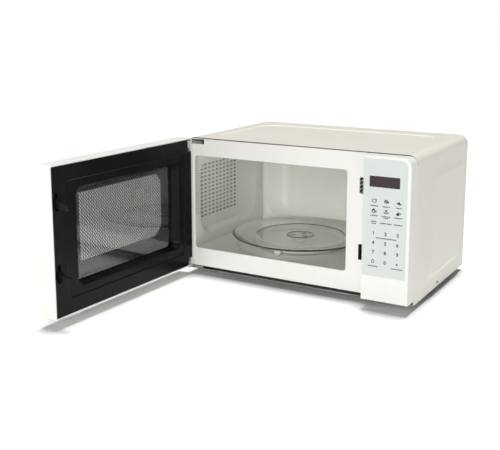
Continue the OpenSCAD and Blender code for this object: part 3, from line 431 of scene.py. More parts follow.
class MakeWrapper(bpy.types.Operator):
    """Make the steel wrapper with its stamped side and top panels"""

    bl_idname = "oven.make_wrapper"
    bl_label = "Wrapper"

    def execute(self, context):
        size = context.scene.oven_cabinet
        rise = size.side_rise / MM
        bm = bmesh.new()
        verts = bmesh.ops.create_cube(bm, size=2)["verts"]
        for v in verts:
            v.co = ((-WALL_X, WALL_X)[v.co.x > 0], (FRONT_Y, REAR_Y)[v.co.y > 0], (WRAP_Z, TOP_Z)[v.co.z > 0])
        bevel_where(bm, lambda e: all(v.co.z > TOP_Z - 1 for v in e.verts)
                    and abs(e.verts[0].co.y - e.verts[1].co.y) > 1, size.corner / MM, 10)
        bm.normal_update()
        open_faces = [f for f in bm.faces if abs(f.normal.y) > 0.9 or f.normal.z < -0.9]
        bmesh.ops.delete(bm, geom=open_faces, context="FACES_ONLY")
        for direction, u, v in ((RIGHT, BACK, UP), (-RIGHT, -BACK, UP), (UP, RIGHT, BACK)):
            bm.normal_update()
            face = max(bm.faces, key=lambda f: f.calc_area() * (f.normal.dot(direction) > 0.999))
            outline = list(face.edges)
            bmesh.ops.delete(bm, geom=[face], context="FACES_ONLY")
            old = set(bm.verts)
            if direction == UP:
                x, y = (-WALL_X + 36, WALL_X - 36), (FRONT_Y + 18, REAR_Y - 42)
                rims = terraces(bm, [(x, y, 40, 0), (grow(x, -0.8), grow(y, -0.8), 39, -0.25),
                                     (grow(x, -2.2), grow(y, -2.2), 38, -1.1),
                                     (grow(x, -3), grow(y, -3), 37, -1.2)], steps=10)
                lay(bm, u, v, (0, 0, TOP_Z), old)
            else:
                levels = side_levels(rise)
                if direction == -RIGHT:
                    levels = [((-y[1], -y[0]), z, radius, w) for y, z, radius, w in levels]
                rims = terraces(bm, levels, steps=8)
                lay(bm, u, v, direction * WALL_X, old)
            sheet_between(bm, outline, rims[0])
        loose = [e for e in bm.edges if not e.link_faces]
        bmesh.ops.delete(bm, geom=loose, context="EDGES")
        face_towards(bm, UP)
        painted = set(bm.faces)
        thicken(bm, size.sheet / MM)
        for face in bm.faces:
            face.material_index = int(face not in painted)
        item = piece(bm, "wrapper", "cabinet", "cream_enamel", "outer_cabinet", crease=50)
        item.data.materials.append(finishes["galvanised_steel"])
        return {"FINISHED"}


class MakeFrontPlate(bpy.types.Operator):
    """Make the front plate with its rolled opening, latch slots and hinge slot"""

    bl_idname = "oven.make_front_plate"
    bl_label = "Front plate"

    def execute(self, context):
        bm = bmesh.new()
        x, z = (-WALL_X + 0.9, PANEL_LOW.x - 0.5), (PANEL_LOW.z - 0.5, TOP_Z - 2)
        outline = rim(bm, x, z, 15, chosen=("left top",))
        holes = []
        mouth = [(grow(CAVITY_X, take), grow(CAVITY_Z, take), 6 + take, depth)
                 for take, depth in ((0.7, 0), (-0.3, -0.4), (-0.8, -1.4), (-0.8, -3.2))]
        holes.append(terraces(bm, mouth, floor=False)[0])
        for z in SLOT_HEIGHTS:
            slot = [(SLOT_X, z, 0.8, 0), (SLOT_X, z, 0.8, -2.6)]
            holes.append(terraces(bm, slot, floor=False, steps=2)[0])
        hinge = [((-WALL_X + 3, -WALL_X + 36), (TOP_Z - 12, TOP_Z - 3.4), 0.8, d) for d in (0, -1.2)]
        holes.append(terraces(bm, hinge, floor=False, steps=2)[0])
        sheet_between(bm, outline, *holes)
        lay(bm, RIGHT, UP, (0, FRONT_Y, 0))
        face_towards(bm, -BACK)
        thicken(bm, 0.7)
        piece(bm, "front_surround", "cabinet", "white_enamel", "front_plate", crease=40)
        return {"FINISHED"}


class MakeScrews(bpy.types.Operator):
    """Make the case's pan-head screws"""

    bl_idname = "oven.make_screws"
    bl_label = "Case screws"

    def execute(self, context):
        low, high = box("case_screws")
        bm = bmesh.new()
        height = WRAP_Z + 6
        places = [(side * RIGHT, Vector((side * WALL_X, -16, height))) for side in (-1, 1)]
        for x in (-1, 1):
            for z in (WRAP_Z + 30.5, TOP_Z - 40):
                places.append((BACK, Vector((x * (WALL_X - 12), high.y - 2, z))))
        profile = [(0, 2.0), (0.01, 2.0), (1.6, 1.9), (2.7, 1.4), (3.3, 0.6), (3.4, 0), (1.5, 0), (1.4, -5.5),
                   (0, -6)]
        for axis, place in places:
            side = UP
            lathe(bm, profile, place, axis, side, 20)
            for turn in (0, 90):
                arm = Matrix.Rotation(math.radians(turn + 45), 3, axis) @ side
                across = axis.cross(arm)
                old = set(bm.verts)
                block(bm, (-1.8, 1.8), (-0.35, 0.35), (1.35, 2.02))
                fresh = [v for v in bm.verts if v not in old]
                matrix = Matrix((arm, across, axis)).transposed().to_4x4()
                bmesh.ops.transform(bm, matrix=Matrix.Translation(place) @ matrix, verts=fresh)
        piece(bm, "screws", "cabinet", "zinc", "case_screws")
        return {"FINISHED"}


# ---- cavity ----


def slot_cell(bm, x, y, slot_x, slot_y, radius=1.0):
    """One flat cell with a slot through it."""
    outer = rim(bm, x, y)
    inner = rim(bm, slot_x, slot_y, radius, steps=2)
    sheet_between(bm, outer, inner)


def slot_field(bm, x, y, across, up, slot):
    """A flat field of cells, each with a slot through it."""
    wide, high = (x[1] - x[0]) / across, (y[1] - y[0]) / up
    for i in range(across):
        for j in range(up):
            cx, cy = (x[0] + i * wide, x[0] + (i + 1) * wide), (y[0] + j * high, y[0] + (j + 1) * high)
            mid = (sum(cx) / 2, sum(cy) / 2)
            slot_cell(bm, cx, cy, (mid[0] - slot[0] / 2, mid[0] + slot[0] / 2),
                      (mid[1] - slot[1] / 2, mid[1] + slot[1] / 2), min(slot) * 0.45)


def field_rim(bm, x, y, old):
    """The outer edges of a field of cells."""
    found = []
    for e in bm.edges:
        if e in old:
            continue
        flat = [all(abs(v.co[axis] - at) < 1e-4 for v in e.verts) for axis, at in
                ((0, x[0]), (0, x[1]), (1, y[0]), (1, y[1]))]
        if any(flat):
            found.append(e)
    return found


def perforated(bm, x, y, across, up, slot, height=0.0):
    """Adds a field of slots and gives its outer edges."""
    old_edges, old = set(bm.edges), set(bm.verts)
    slot_field(bm, x, y, across, up, slot)
    bmesh.ops.remove_doubles(bm, verts=[v for v in bm.verts if v not in old], dist=0.01)
    fresh = [v for v in bm.verts if v not in old]
    bmesh.ops.translate(bm, vec=(0, 0, height), verts=fresh)
    return field_rim(bm, x, y, old_edges)


class MakeCavity(bpy.types.Operator):
    """Make the cavity's stamped and perforated walls and its dished floor"""

    bl_idname = "oven.make_cavity"
    bl_label = "Cavity"

    def left_wall(self, sheet):
        bm = bmesh.new()
        y, z = (FRONT_Y + 1, CAVITY_BACK), CAVITY_Z
        outline = rim(bm, y, z)
        # The panel pressed out of the wall, with its slots
        py, pz = (-120, 96), (66, 222)
        deep = -7
        levels = [(py, pz, 44, 0), ((-118.5, 92), (68, 220.5), 42, -0.6), ((-116, 84), (71, 218.5), 38, -2.6),
                  ((-114, 70), (74, 217), 32, -4.9), ((-113, 50), (76, 216), 25, -6.4),
                  ((-112, 34), (78, 215), 18, deep)]
        rims = terraces(bm, levels, floor=False, steps=8)
        bottom = deep - (len(levels) - 1) * NUDGE
        sheet_between(bm, rims[-1], perforated(bm, (-109, 24), (98, 203), 10, 14, (8.4, 3.2), bottom))
        # Small slots in front of the panel and a row behind it
        front_strip = perforated(bm, (-134, -122.5), (110, 222), 2, 22, (3.4, 2.6))
        back_strip = perforated(bm, (110, 117), (116, 221), 1, 15, (3.4, 3))
        sheet_between(bm, outline, rims[0], front_strip, back_strip)
        lay(bm, BACK, UP, (CAVITY_X[0], 0, 0))
        face_towards(bm, RIGHT)
        thicken(bm, sheet)
        piece(bm, "cavity_left", "cabinet", "cavity_enamel", "cavity_left_wall", crease=45)

    def back_wall(self, sheet):
        bm = bmesh.new()
        x, z = CAVITY_X, CAVITY_Z
        outline = rim(bm, x, z)
        tall = z[1] - 3
        # How far each line lies in from the sides, the bottom and the top, its radius and its depth
        lines = ((5, 5, 0, 26, 0), (6.5, 6.5, 1.5, 25, -0.8), (9, 9, 4, 23, -2.6), (12, 12, 7, 21, -3),
                 (40, 30, 20, 20, -3), (43, 33, 22, 19, -3.8), (49, 38, 26, 18, -6.6), (56, 43, 30, 16, -7.8),
                 (62, 48, 34, 14, -8))
        levels = [(grow(x, -side), (z[0] + low, tall - high), radius, depth)
                  for side, low, high, radius, depth in lines]
        rims = terraces(bm, levels, steps=8)
        sheet_between(bm, outline, rims[0])
        lay(bm, RIGHT, UP, (0, CAVITY_BACK, 0))
        face_towards(bm, -BACK)
        thicken(bm, sheet)
        piece(bm, "cavity_back", "cabinet", "cavity_enamel", "cavity_back_wall", crease=45)

    def floor(self, sheet):
        bm = bmesh.new()
        outline = rim(bm, CAVITY_X, (FRONT_Y + 1, CAVITY_BACK + 0.6))
        dish = TRAY_R - 8
        section = ((dish + 4, 0), (dish + 2, -0.5), (dish - 1, -2), (dish - 4, -3.5), (dish - 6, -4),
                   (7.5, -4.05), (7.5, -4.6))
        rims = [disc_rim(bm, TRAY_X, TRAY_Y, r, z, 96) for r, z in section]
        join_rims(bm, rims)
        sheet_between(bm, outline, rims[0])
        lay(bm, RIGHT, BACK, (0, 0, CAVITY_Z[0]))
        face_towards(bm, UP)
        thicken(bm, sheet)
        piece(bm, "cavity_bottom", "cabinet", "cavity_enamel", "cavity_floor", "turntable_well", crease=45)

    def right_wall(self, sheet):
        bm = bmesh.new()
        y, z = (FRONT_Y + 1, CAVITY_BACK), CAVITY_Z
        outline = rim(bm, y, z)
        fields = [perforated(bm, (58, 94), (199, 217), 6, 3, (3.6, 3.6)),
                  perforated(bm, (-110, -62), (150, 200), 6, 7, (5.5, 3.2))]
        guide = [((-46, -4), (125, 175), 3, 0), ((-45, -5), (125.8, 174.2), 2.4, -0.6)]
        fields.append(terraces(bm, guide, floor=False, steps=3)[0])
        sheet_between(bm, outline, *fields)
        lay(bm, BACK, UP, (CAVITY_X[1], 0, 0))
        face_towards(bm, -RIGHT)
        thicken(bm, sheet)
        piece(bm, "cavity_right", "cabinet", "cavity_enamel", "cavity_right_wall", crease=45)

    def execute(self, context):
        sheet = context.scene.oven_cabinet.sheet / MM
        self.left_wall(sheet)
        self.right_wall(sheet)
        self.back_wall(sheet)
        self.floor(sheet)
        return {"FINISHED"}


# ---- turntable ----


class MakeTurntable(bpy.types.Operator):
    """Make the pressed glass tray, the roller ring and its wheels"""

    bl_idname = "oven.make_turntable"
    bl_label = "Turntable"

    def execute(self, context):
        base = TRAY_LOW.z
        r = TRAY_R
        bm = bmesh.new()
        profile = [(0, 0), (r - 49, 0), (r - 47.5, 0), (r - 45, 0.3), (r - 22, 0.5), (r - 14, 1.3),
                   (r - 6, 3.9), (r - 1.2, 6.4), (r - 0.2, 7.3), (r, 8.2), (r - 0.4, 8.8), (r - 1.4, 9),
                   (r - 2.6, 8.7), (r - 8, 6.8), (r - 15, 5.2), (r - 22, 4.8), (r - 42, 4.9), (r - 45, 4.7),
                   (r - 47, 4.0), (r - 49, 3.8), (0, 3.8)]
        lathe(bm, profile, (TRAY_X, TRAY_Y, base), steps=128)
        # Ring and three driving lugs moulded at the centre
        ring = [(23, 3.6), (23.3, 4.4), (24.2, 4.75), (25.4, 4.75), (26.3, 4.4), (26.6, 3.6)]
        lathe(bm, ring, (TRAY_X, TRAY_Y, base), steps=64, closed=True)
        for turn in (90, 210, 330):
            old = set(bm.verts)
            block(bm, (9, 20), (-3.2, 3.2), (3.6, 5.0), 0.6, 2)
            fresh = [v for v in bm.verts if v not in old]
            spoke = Matrix.Rotation(math.radians(turn), 3, "Z")
            bmesh.ops.rotate(bm, cent=(0, 0, 0), matrix=spoke, verts=fresh)
            bmesh.ops.translate(bm, vec=(TRAY_X, TRAY_Y, base), verts=fresh)
        piece(bm, "tray", "tray", "tray_glass", "glass_tray", crease=60)
        wheel_z = (box("roller_wheel_a")[0].z + box("roller_wheel_a")[1].z) / 2
        wheel_r = (box("roller_wheel_a")[1].z - box("roller_wheel_a")[0].z) / 2
        bm = bmesh.new()
        profile = [(78, -2.4), (78.6, -3), (84.4, -3), (85, -2.4), (85, 2.4), (84.4, 3), (78.6, 3), (78, 2.4)]
        lathe(bm, profile, (TRAY_X, TRAY_Y, wheel_z), steps=96, closed=True)
        for turn in (30, 150, 270):
            arm = Matrix.Rotation(math.radians(turn), 3, "Z") @ RIGHT
            axle = [(0, 0), (1.6, 0), (1.6, 12.6), (2.6, 12.8), (2.6, 13.6), (2.2, 14.0), (0, 14.0)]
            lathe(bm, axle, Vector((TRAY_X, TRAY_Y, wheel_z)) + arm * 83, arm, UP, 20)
        piece(bm, "ring", "roller_ring", "white_plastic", "roller_ring", crease=40)
        for letter, turn in (("a", 30), ("b", 150), ("c", 270)):
            arm = Matrix.Rotation(math.radians(turn), 3, "Z") @ RIGHT
            bm = bmesh.new()
            half = [(1.7, -1.8), (3.1, -1.8), (3.2, -1.4), (wheel_r - 1.8, -1.4), (wheel_r - 1.6, -2.8),
                    (wheel_r - 1.2, -3), (wheel_r - 0.4, -2.8), (wheel_r, -2.2)]
            tyre = half + [(out, -along) for out, along in reversed(half)]
            lathe(bm, tyre, Vector((TRAY_X, TRAY_Y, wheel_z)) + arm * 92, arm, UP, 32, closed=True)
            piece(bm, "wheel_" + letter, "wheel_" + letter, "wheel_plastic", "roller_wheel_" + letter)
        return {"FINISHED"}


# ---- control panel ----


# How much bolder than drawn the signs' rings and the captions are printed
RING_WEIGHT, CAPTION_WEIGHT = 1.4, 1.3


def flat_bar(bm, x, y, wide, high):
    patch(bm, (x - wide / 2, x + wide / 2), (y - high / 2, y + high / 2), min(wide, high) * 0.2, steps=1)


def flat_ring(bm, x, y, wide, high, line=0.8, steps=24):
    """A flat oval ring."""
    outer = disc_rim(bm, 0, 0, 1, 0, steps)
    inner = disc_rim(bm, 0, 0, 1 - 2 * line * RING_WEIGHT / wide, 0, steps)
    verts = list({v for e in outer + inner for v in e.verts})
    bmesh.ops.bridge_loops(bm, edges=outer + inner)
    bmesh.ops.scale(bm, vec=(wide / 2, high / 2, 1), verts=verts)
    bmesh.ops.translate(bm, vec=(x, y, 0), verts=verts)


def flat_shape(bm, x, y, sides, size, turn=0.0, squash=1.0):
    """A flat filled shape with that many sides."""
    verts = bmesh.ops.create_circle(bm, cap_ends=True, segments=sides, radius=size)["verts"]
    bmesh.ops.rotate(bm, cent=(0, 0, 0), matrix=Matrix.Rotation(math.radians(turn), 3, "Z"), verts=verts)
    bmesh.ops.scale(bm, vec=(1, squash, 1), verts=verts)
    bmesh.ops.translate(bm, vec=(x, y, 0), verts=verts)


def caption(bm, x, y, wide, high=1.3, dashes=5):
    """A broken line that stands for a key's caption."""
    step = wide / dashes
    for i in range(dashes):
        flat_bar(bm, x - wide / 2 + (i + 0.5) * step, y, step * (0.82 if i % 3 else 0.7),
                 high * CAPTION_WEIGHT)


def digit(bm, character, x, y, height):
    """A generic digit."""
    curve = bpy.data.curves.new("digit", "FONT")
    curve.body = character
    curve.size = height / 0.72
    curve.align_x = "CENTER"
    curve.resolution_u = 3
    curve.offset = 0.25
    holder = bpy.data.objects.new("digit", curve)
    bpy.context.scene.collection.objects.link(holder)
    bpy.context.view_layer.update()
    mesh = bpy.data.meshes.new_from_object(holder.evaluated_get(bpy.context.evaluated_depsgraph_get()))
    bpy.data.objects.remove(holder)
    old = set(bm.verts)
    bm.from_mesh(mesh)
    fresh = [v for v in bm.verts if v not in old]
    bmesh.ops.translate(bm, vec=(x, y - height / 2, 0), verts=fresh)
    bpy.data.meshes.remove(mesh)
    bpy.data.curves.remove(curve)


def food_sign(bm, kind, x, y):
    """Simple signs above the food keys."""
    if kind == "round":
        flat_ring(bm, x, y, 8.4, 6.4, 0.9)
        flat_bar(bm, x + 2.4, y + 2.6, 3, 0.8)
    elif kind == "bowl":
        flat_ring(bm, x - 0.5, y + 0.4, 6.6, 6.2, 0.9)
        flat_shape(bm, x + 3.2, y - 0.2, 3, 2.2, 90)
        flat_shape(bm, x - 0.5, y + 0.4, 12, 1.4)
    elif kind == "slice":
        flat_shape(bm, x, y - 0.4, 3, 4.2, 90, 0.8)
        flat_shape(bm, x + 3.4, y - 1.6, 3, 2.4, 90, 0.7)
    elif kind == "cup":
        flat_ring(bm, x - 1, y - 0.8, 6.4, 5.4, 1.1)
        flat_shape(bm, x - 1, y + 2.2, 12, 2.6, 0, 0.5)
        flat_ring(bm, x + 3, y - 0.8, 3.2, 3.2, 0.7)
    elif kind == "plate":
        flat_shape(bm, x, y + 2.4, 3, 2.4, 90)
        flat_ring(bm, x, y - 1.4, 8.6, 4.2, 0.9)
        flat_bar(bm, x, y - 1.4, 5, 0.9)
    else:
        flat_shape(bm, x - 1, y - 1.6, 12, 2.8, 0, 0.8)
        flat_ring(bm, x + 1.6, y - 0.4, 5, 4.2, 0.8)
        flat_bar(bm, x - 0.6, y + 2.8, 0.9, 2.6)


def printed(bm, name, slot, finish):
    """Makes flat shapes a thin print on the piece that has the slot."""
    item = piece(bm, name, "cabinet", slot)
    item.data.materials.clear()
    item.data.materials.append(finishes[finish])
    solid = item.modifiers.new("Print thickness", "SOLIDIFY")
    solid.thickness = 0.04 * MM


class MakeControlPanel(bpy.types.Operator):
    """Make the moulded panel, its keypad film, the print and the display"""

    bl_idname = "oven.make_control_panel"
    bl_label = "Control panel"

    def housing(self):
        bm = bmesh.new()
        low, high = PANEL_LOW, PANEL_HIGH
        verts = bmesh.ops.create_cube(bm, size=2)["verts"]
        for v in verts:
            v.co = ((low.x, high.x)[v.co.x > 0], (low.y, high.y)[v.co.y > 0], (low.z, high.z)[v.co.z > 0])
        bevel_where(bm, lambda e: all(v.co.z > high.z - 1 and v.co.x > high.x - 1 for v in e.verts), 15, 10)
        bm.normal_update()
        back = [f for f in bm.faces if f.normal.y > 0.9]
        bmesh.ops.delete(bm, geom=back, context="FACES_ONLY")
        bevel_where(bm, lambda e: all(abs(v.co.y - low.y) < 0.01 for v in e.verts), 1.8, 4)
        bm.normal_update()
        face = max((f for f in bm.faces if f.normal.y < -0.99), key=lambda f: f.calc_area())
        outline = list(face.edges)
        bmesh.ops.delete(bm, geom=[face], context="FACES_ONLY")
        old = set(bm.verts)
        x, z = (DISPLAY_LOW.x, DISPLAY_HIGH.x), (DISPLAY_LOW.z, DISPLAY_HIGH.z)
        window = terraces(bm, [(x, z, 0.6, depth) for depth in (0, -2)], floor=False, steps=2)
        lay(bm, RIGHT, UP, (0, low.y, 0), old)
        sheet_between(bm, outline, window[0])
        loose = [e for e in bm.edges if not e.link_faces]
        bmesh.ops.delete(bm, geom=loose, context="EDGES")
        face_towards(bm, -BACK)
        thicken(bm, 2.2)
        piece(bm, "panel_housing", "cabinet", "panel_plastic", "control_panel", crease=40)

    def film(self):
        bm = bmesh.new()
        x, z = (KEYPAD_LOW.x, KEYPAD_HIGH.x), (KEYPAD_LOW.z, KEYPAD_HIGH.z)
        outline = rim(bm, x, z, 12, steps=8, chosen=("right top",))
        window = rim(bm, (DISPLAY_LOW.x, DISPLAY_HIGH.x), (DISPLAY_LOW.z, DISPLAY_HIGH.z), 0.4, steps=2)
        sheet_between(bm, outline, window)
        lay(bm, RIGHT, UP, (0, PANEL_LOW.y - 0.25, 0))
        face_towards(bm, -BACK)
        thicken(bm, 0.25)
        piece(bm, "keypad_film", "cabinet", "membrane_film", "keypad_membrane")

    def printing(self):
        bm = bmesh.new()
        columns = (159.5, 180, 200.5)
        signs = (("round", "bowl", "slice"), ("cup", "plate", "steam"))
        for row, z in enumerate((183.5, 167)):
            for x, kind in zip(columns, signs[row]):
                food_sign(bm, kind, x, z + 1)
        for z, widths in ((176.4, (13, 12, 10)), (160.4, (13, 15, 13))):
            for x, wide in zip(columns, widths):
                caption(bm, x, z, wide)
        for x, z, wide, high, dashes in (
                (180, 157.6, 9, 1.2, 3), (159.5, 150.6, 10, 1.3, 4), (159.5, 147.4, 8, 1.3, 3),
                (180, 149, 20, 1.4, 7), (200.5, 149, 15, 1.4, 5), (181, 124.2, 35, 1.3, 12),
                (159.5, 76.4, 17, 1.3, 6), (200.5, 76.4, 20, 1.3, 7)):
            caption(bm, x, z, wide, high, dashes)
        for row, z in (("123", 132), ("456", 116), ("789", 100.4)):
            for x, character in zip(columns, row):
                digit(bm, character, x, z, 5.6)
        digit(bm, "0", 180, 84.4, 5.6)
        flat_ring(bm, 159.5, 84.4, 5.6, 5.6, 0.7)
        flat_bar(bm, 159.5, 87.4, 0.8, 2.6)
        flat_shape(bm, 200.5, 84.4, 3, 2.4)
        lay(bm, RIGHT, UP, (0, PANEL_LOW.y - 0.3, 0))
        face_towards(bm, -BACK)
        printed(bm, "key_print", "membrane_film", "key_print")

    def display(self):
        bm = bmesh.new()
        low, high = DISPLAY_LOW, DISPLAY_HIGH
        block(bm, (low.x, high.x), (low.y + 0.1, high.y), (low.z, high.z), 0.25)
        piece(bm, "display_lens", "cabinet", "display_lens", "display_window")
        bm = bmesh.new()
        mid = (low.z + high.z) / 2
        wide, tall, line = 6.4, 12.5, 0.8
        pitch = 11.2
        start = (low.x + high.x) / 2 - 1.5 * pitch
        for place in range(4):
            x = start + place * pitch
            for bar in range(-1, 2):
                flat_bar(bm, x + bar * 0.7, mid + bar * tall / 2, wide - 1.4, line)
            for side in (-1, 1):
                for half in (-1, 1):
                    flat_bar(bm, x + side * wide / 2 + half * 0.35, mid + half * tall / 4, line,
                             tall / 2 - 1.2)
        for half in (-1, 1):
            flat_shape(bm, (low.x + high.x) / 2, mid + half * 2.6, 12, 0.7)
        lay(bm, RIGHT, UP, (0, low.y + 0.06, 0))
        face_towards(bm, -BACK)
        printed(bm, "display_segments", "display_lens", "segment_print_and_painted_glow")

    def execute(self, context):
        self.housing()
        self.film()
        self.printing()
        self.display()
        return {"FINISHED"}


# ---- door ----


def flip(x):
    """A [low, high] pair of X as drawn on the closed door's inner face."""
    return (-x[1], -x[0])


def taken_in(x, z, lines):
    """Round rectangles inside x and z, from how far in each lies, its radius and its Y."""
    return [(grow(x, -by), grow(z, -by), radius, y) for by, radius, y in lines]


def inner_levels(levels):
    return [(flip(x), z, radius, depth) for x, z, radius, depth in levels]


def repeat(bm, drawn, count, along, step):
    """Copies what was drawn until there are count of it, each a step further along."""
    for place in range(1, count):
        made = bmesh.ops.duplicate(bm, geom=drawn)["geom"]
        verts = [part for part in made if isinstance(part, bmesh.types.BMVert)]
        bmesh.ops.translate(bm, vec=along * (place * step), verts=verts)


class MakeDoor(bpy.types.Operator):
    """Make the door's perimeter, outer face, handle, window, inner cover and screen"""

    bl_idname = "oven.make_door"
    bl_label = "Door"

    def ring(self, name, levels, slot, *nodes):
        """A closed ring whose section is given by round rectangles, each with its Y."""
        bm = bmesh.new()
        rims = [rim(bm, flip(x), z, radius, y - DOOR_IN - step * NUDGE)
                for step, (x, z, radius, y) in enumerate(levels)]
        join_rims(bm, rims + rims[:1])
        lay(bm, -RIGHT, UP, (0, DOOR_IN, 0))
        bmesh.ops.recalc_face_normals(bm, faces=bm.faces)
        swing(bm)
        return piece(bm, name, "door", slot, *nodes, crease=50)

    def perimeter(self):
        x, z = DOOR_X, DOOR_Z
        self.ring("door_perimeter", taken_in(x, z, (
            (2.6, 2, SEAM_Y + 0.1), (0.5, 2.6, SEAM_Y + 0.1), (0.15, 2.8, SEAM_Y + 0.3), (0, 3, SEAM_Y + 0.8),
            (0, 3, DOOR_IN - 1.4), (0.3, 2.8, DOOR_IN - 0.5), (1, 2.4, DOOR_IN), (2.2, 2, DOOR_IN),
            (2.6, 2, DOOR_IN - 0.4))),
            "door_plastic", "door_frame")

    def outer_face(self):
        x, z = DOOR_X, DOOR_Z
        skin = taken_in(x, z, (
            (2.6, 2, SEAM_Y - 0.1), (0.9, 2.2, SEAM_Y - 0.1), (0.3, 2.6, SEAM_Y - 0.4), (0, 3, SEAM_Y - 1.2),
            (0, 3, DOOR_OUT + 3.4), (0.6, 3, DOOR_OUT + 1.6), (1.8, 3, DOOR_OUT + 0.4), (3.4, 3, DOOR_OUT)))
        mouth = taken_in(WINDOW_X, WINDOW_Z, (
            (-1, 3, DOOR_OUT), (-0.4, 2.4, DOOR_OUT + 0.5), (0, 2, DOOR_OUT + 1.4), (0, 2, DOOR_OUT + 3)))
        self.ring("door_face", skin + mouth + taken_in(x, z, ((2.6, 2, DOOR_OUT + 3),)),
            "door_plastic", "door_fascia")

    def window(self):
        bm = bmesh.new()
        block(bm, grow(WINDOW_X, -0.1), (DOOR_OUT + 0.3, DOOR_OUT + 3), grow(WINDOW_Z, -0.1), 0.5)
        swing(bm)
        piece(bm, "window_glass", "door", "dark_window", "door_window")
        # Black print behind the glass, with a clear middle
        bm = bmesh.new()
        outline = rim(bm, flip(grow(WINDOW_X, 3)), grow(WINDOW_Z, 3), 2)
        clear = rim(bm, flip((-160, 63)), (86, 200), 16, steps=1)
        sheet_between(bm, outline, clear)
        lay(bm, -RIGHT, UP, (0, DOOR_OUT + 3.5, 0))
        face_towards(bm, BACK)
        thicken(bm, 0.3)
        swing(bm)
        piece(bm, "window_print", "door", "black_plastic")

    def handle(self):
        bm = bmesh.new()
        low, high = DOOR_Z[0] + 34, DOOR_Z[1] - 34
        x = DOOR_X[1] - 50
        out = DOOR_OUT - 24
        block(bm, (x - 8, x + 8), (out, out + 8), (low, high), 3.4, 5)
        for z in (low, high - 16):
            block(bm, (x - 6, x + 6), (out + 2, DOOR_OUT + 0.5), (z, z + 16), 3, 4)
        swing(bm)
        piece(bm, "handle", "door", "door_plastic", "door_handle", crease=60)

    def cover(self):
        bm = bmesh.new()
        x, z = grow(DOOR_X, -2.6), grow(DOOR_Z, -2.6)
        # Its two corners at the hinges are cut away
        cut_x, uncut_z = flip((HINGE_X + 11, 0))[1], (z[0] + 14, z[1] - 22)
        for across, up in (((-x[1], cut_x), (z[0], uncut_z[0])), ((-x[1], cut_x), uncut_z),
                           ((-x[1], cut_x), (uncut_z[1], z[1])), ((cut_x, -x[0]), uncut_z)):
            patch(bm, across, up, z=-0.5)
        bmesh.ops.remove_doubles(bm, verts=bm.verts, dist=0.01)
        outline = [e for e in bm.edges if len(e.link_faces) == 1]
        bmesh.ops.delete(bm, geom=[e for e in bm.edges if len(e.link_faces) == 2], context="EDGES")
        bmesh.ops.delete(bm, geom=bm.faces[:], context="FACES_ONLY")
        levels = [((-195, 107), (42, 230), 10, -0.5), ((-194.4, 106.4), (42.6, 229.4), 9.6, -0.7),
                  ((-193.4, 105.4), (43.6, 228.4), 9, -1.7), ((-192.6, 104.6), (44.4, 227.6), 8.6, -2.0),
                  ((-183, 84), (55.5, 216.5), 14, -2.0), ((-181.4, 82.4), (57, 215), 13, -2.5),
                  ((-180, 81), (58.5, 213.5), 12, -4.2), ((-179, 80), (59.5, 212.5), 11, -7),
                  ((-177, 78), (61.5, 210.5), 10, -13), ((-175, 76), (63, 209), 9, -15.6),
                  ((-171, 72), (65.5, 207.5), 8, -16.6), (SCREEN_X, SCREEN_Z, 5, -16.8),
                  (SCREEN_X, SCREEN_Z, 5, -17.2)]
        rims = terraces(bm, inner_levels(levels), floor=False, steps=8)
        hooks = []
        for low, high in SLOT_HEIGHTS:
            slot = [((PANEL_LOW.x - 17, PANEL_LOW.x - 11), (low - 1, high + 1), 0.6, d) for d in (-0.5, -2.4)]
            hooks.append(terraces(bm, inner_levels(slot), floor=False, steps=2)[0])
        sheet_between(bm, outline, rims[0], *hooks)
        lay(bm, -RIGHT, UP, (0, DOOR_IN, 0))
        face_towards(bm, BACK)
        thicken(bm, 0.8)
        swing(bm)
        piece(bm, "inner_cover", "door", "black_plastic", "choke_cover", crease=50)

    def screen(self):
        bm = bmesh.new()
        pitch, rows_up, hole = 5.8, 3.0, 1.55
        across = int((SCREEN_X[1] - SCREEN_X[0]) / pitch)
        up = int((SCREEN_Z[1] - SCREEN_Z[0]) / (2 * rows_up))
        x0, z0 = SCREEN_X[0], SCREEN_Z[0]
        # One cell holds two holes, half a pitch apart
        outer = rim(bm, (0, pitch), (0, 2 * rows_up))
        low_hole = disc_rim(bm, pitch * 0.3, rows_up * 0.5, hole, 0, 8)
        high_hole = disc_rim(bm, pitch * 0.7, rows_up * 1.5, hole, 0, 8)
        sheet_between(bm, outer, low_hole, high_hole)
        cell = bm.verts[:] + bm.edges[:] + bm.faces[:]
        bmesh.ops.translate(bm, vec=(x0, z0, 0), verts=bm.verts)
        repeat(bm, cell, across, RIGHT, pitch)
        row = bm.verts[:] + bm.edges[:] + bm.faces[:]
        repeat(bm, row, up, BACK, 2 * rows_up)
        bmesh.ops.remove_doubles(bm, verts=bm.verts, dist=0.01)
        field_x, field_z = (x0, x0 + across * pitch), (z0, z0 + up * 2 * rows_up)
        edge = field_rim(bm, field_x, field_z, set())
        outline = rim(bm, grow(field_x, 5), grow(field_z, 4))
        sheet_between(bm, outline, edge)
        lay(bm, RIGHT, UP, (0, SCREEN_Y - 0.4, 0))
        face_towards(bm, BACK)
        thicken(bm, 0.5)
        swing(bm)
        piece(bm, "perforated_screen", "door", "screen_metal", "door_screen")

    def execute(self, context):
        self.perimeter()
        self.outer_face()
        self.window()
        self.handle()
        self.cover()
        self.screen()
        return {"FINISHED"}


# ---- stage ----


class StudioSettings(bpy.types.PropertyGroup):
    """Light and view."""

    ambient: FloatProperty(name="Ambient", description="Strength of the pale surroundings as a light",
                           default=0.08, min=0, max=2)
    key_power: FloatProperty(name="Key Light", description="Power of the large front light", default=41,
                             min=0, max=500, unit="POWER")
    sky_power: FloatProperty(name="Overhead Light", description="Strength of the soft light from above",
                             default=3.45, min=0, max=10)


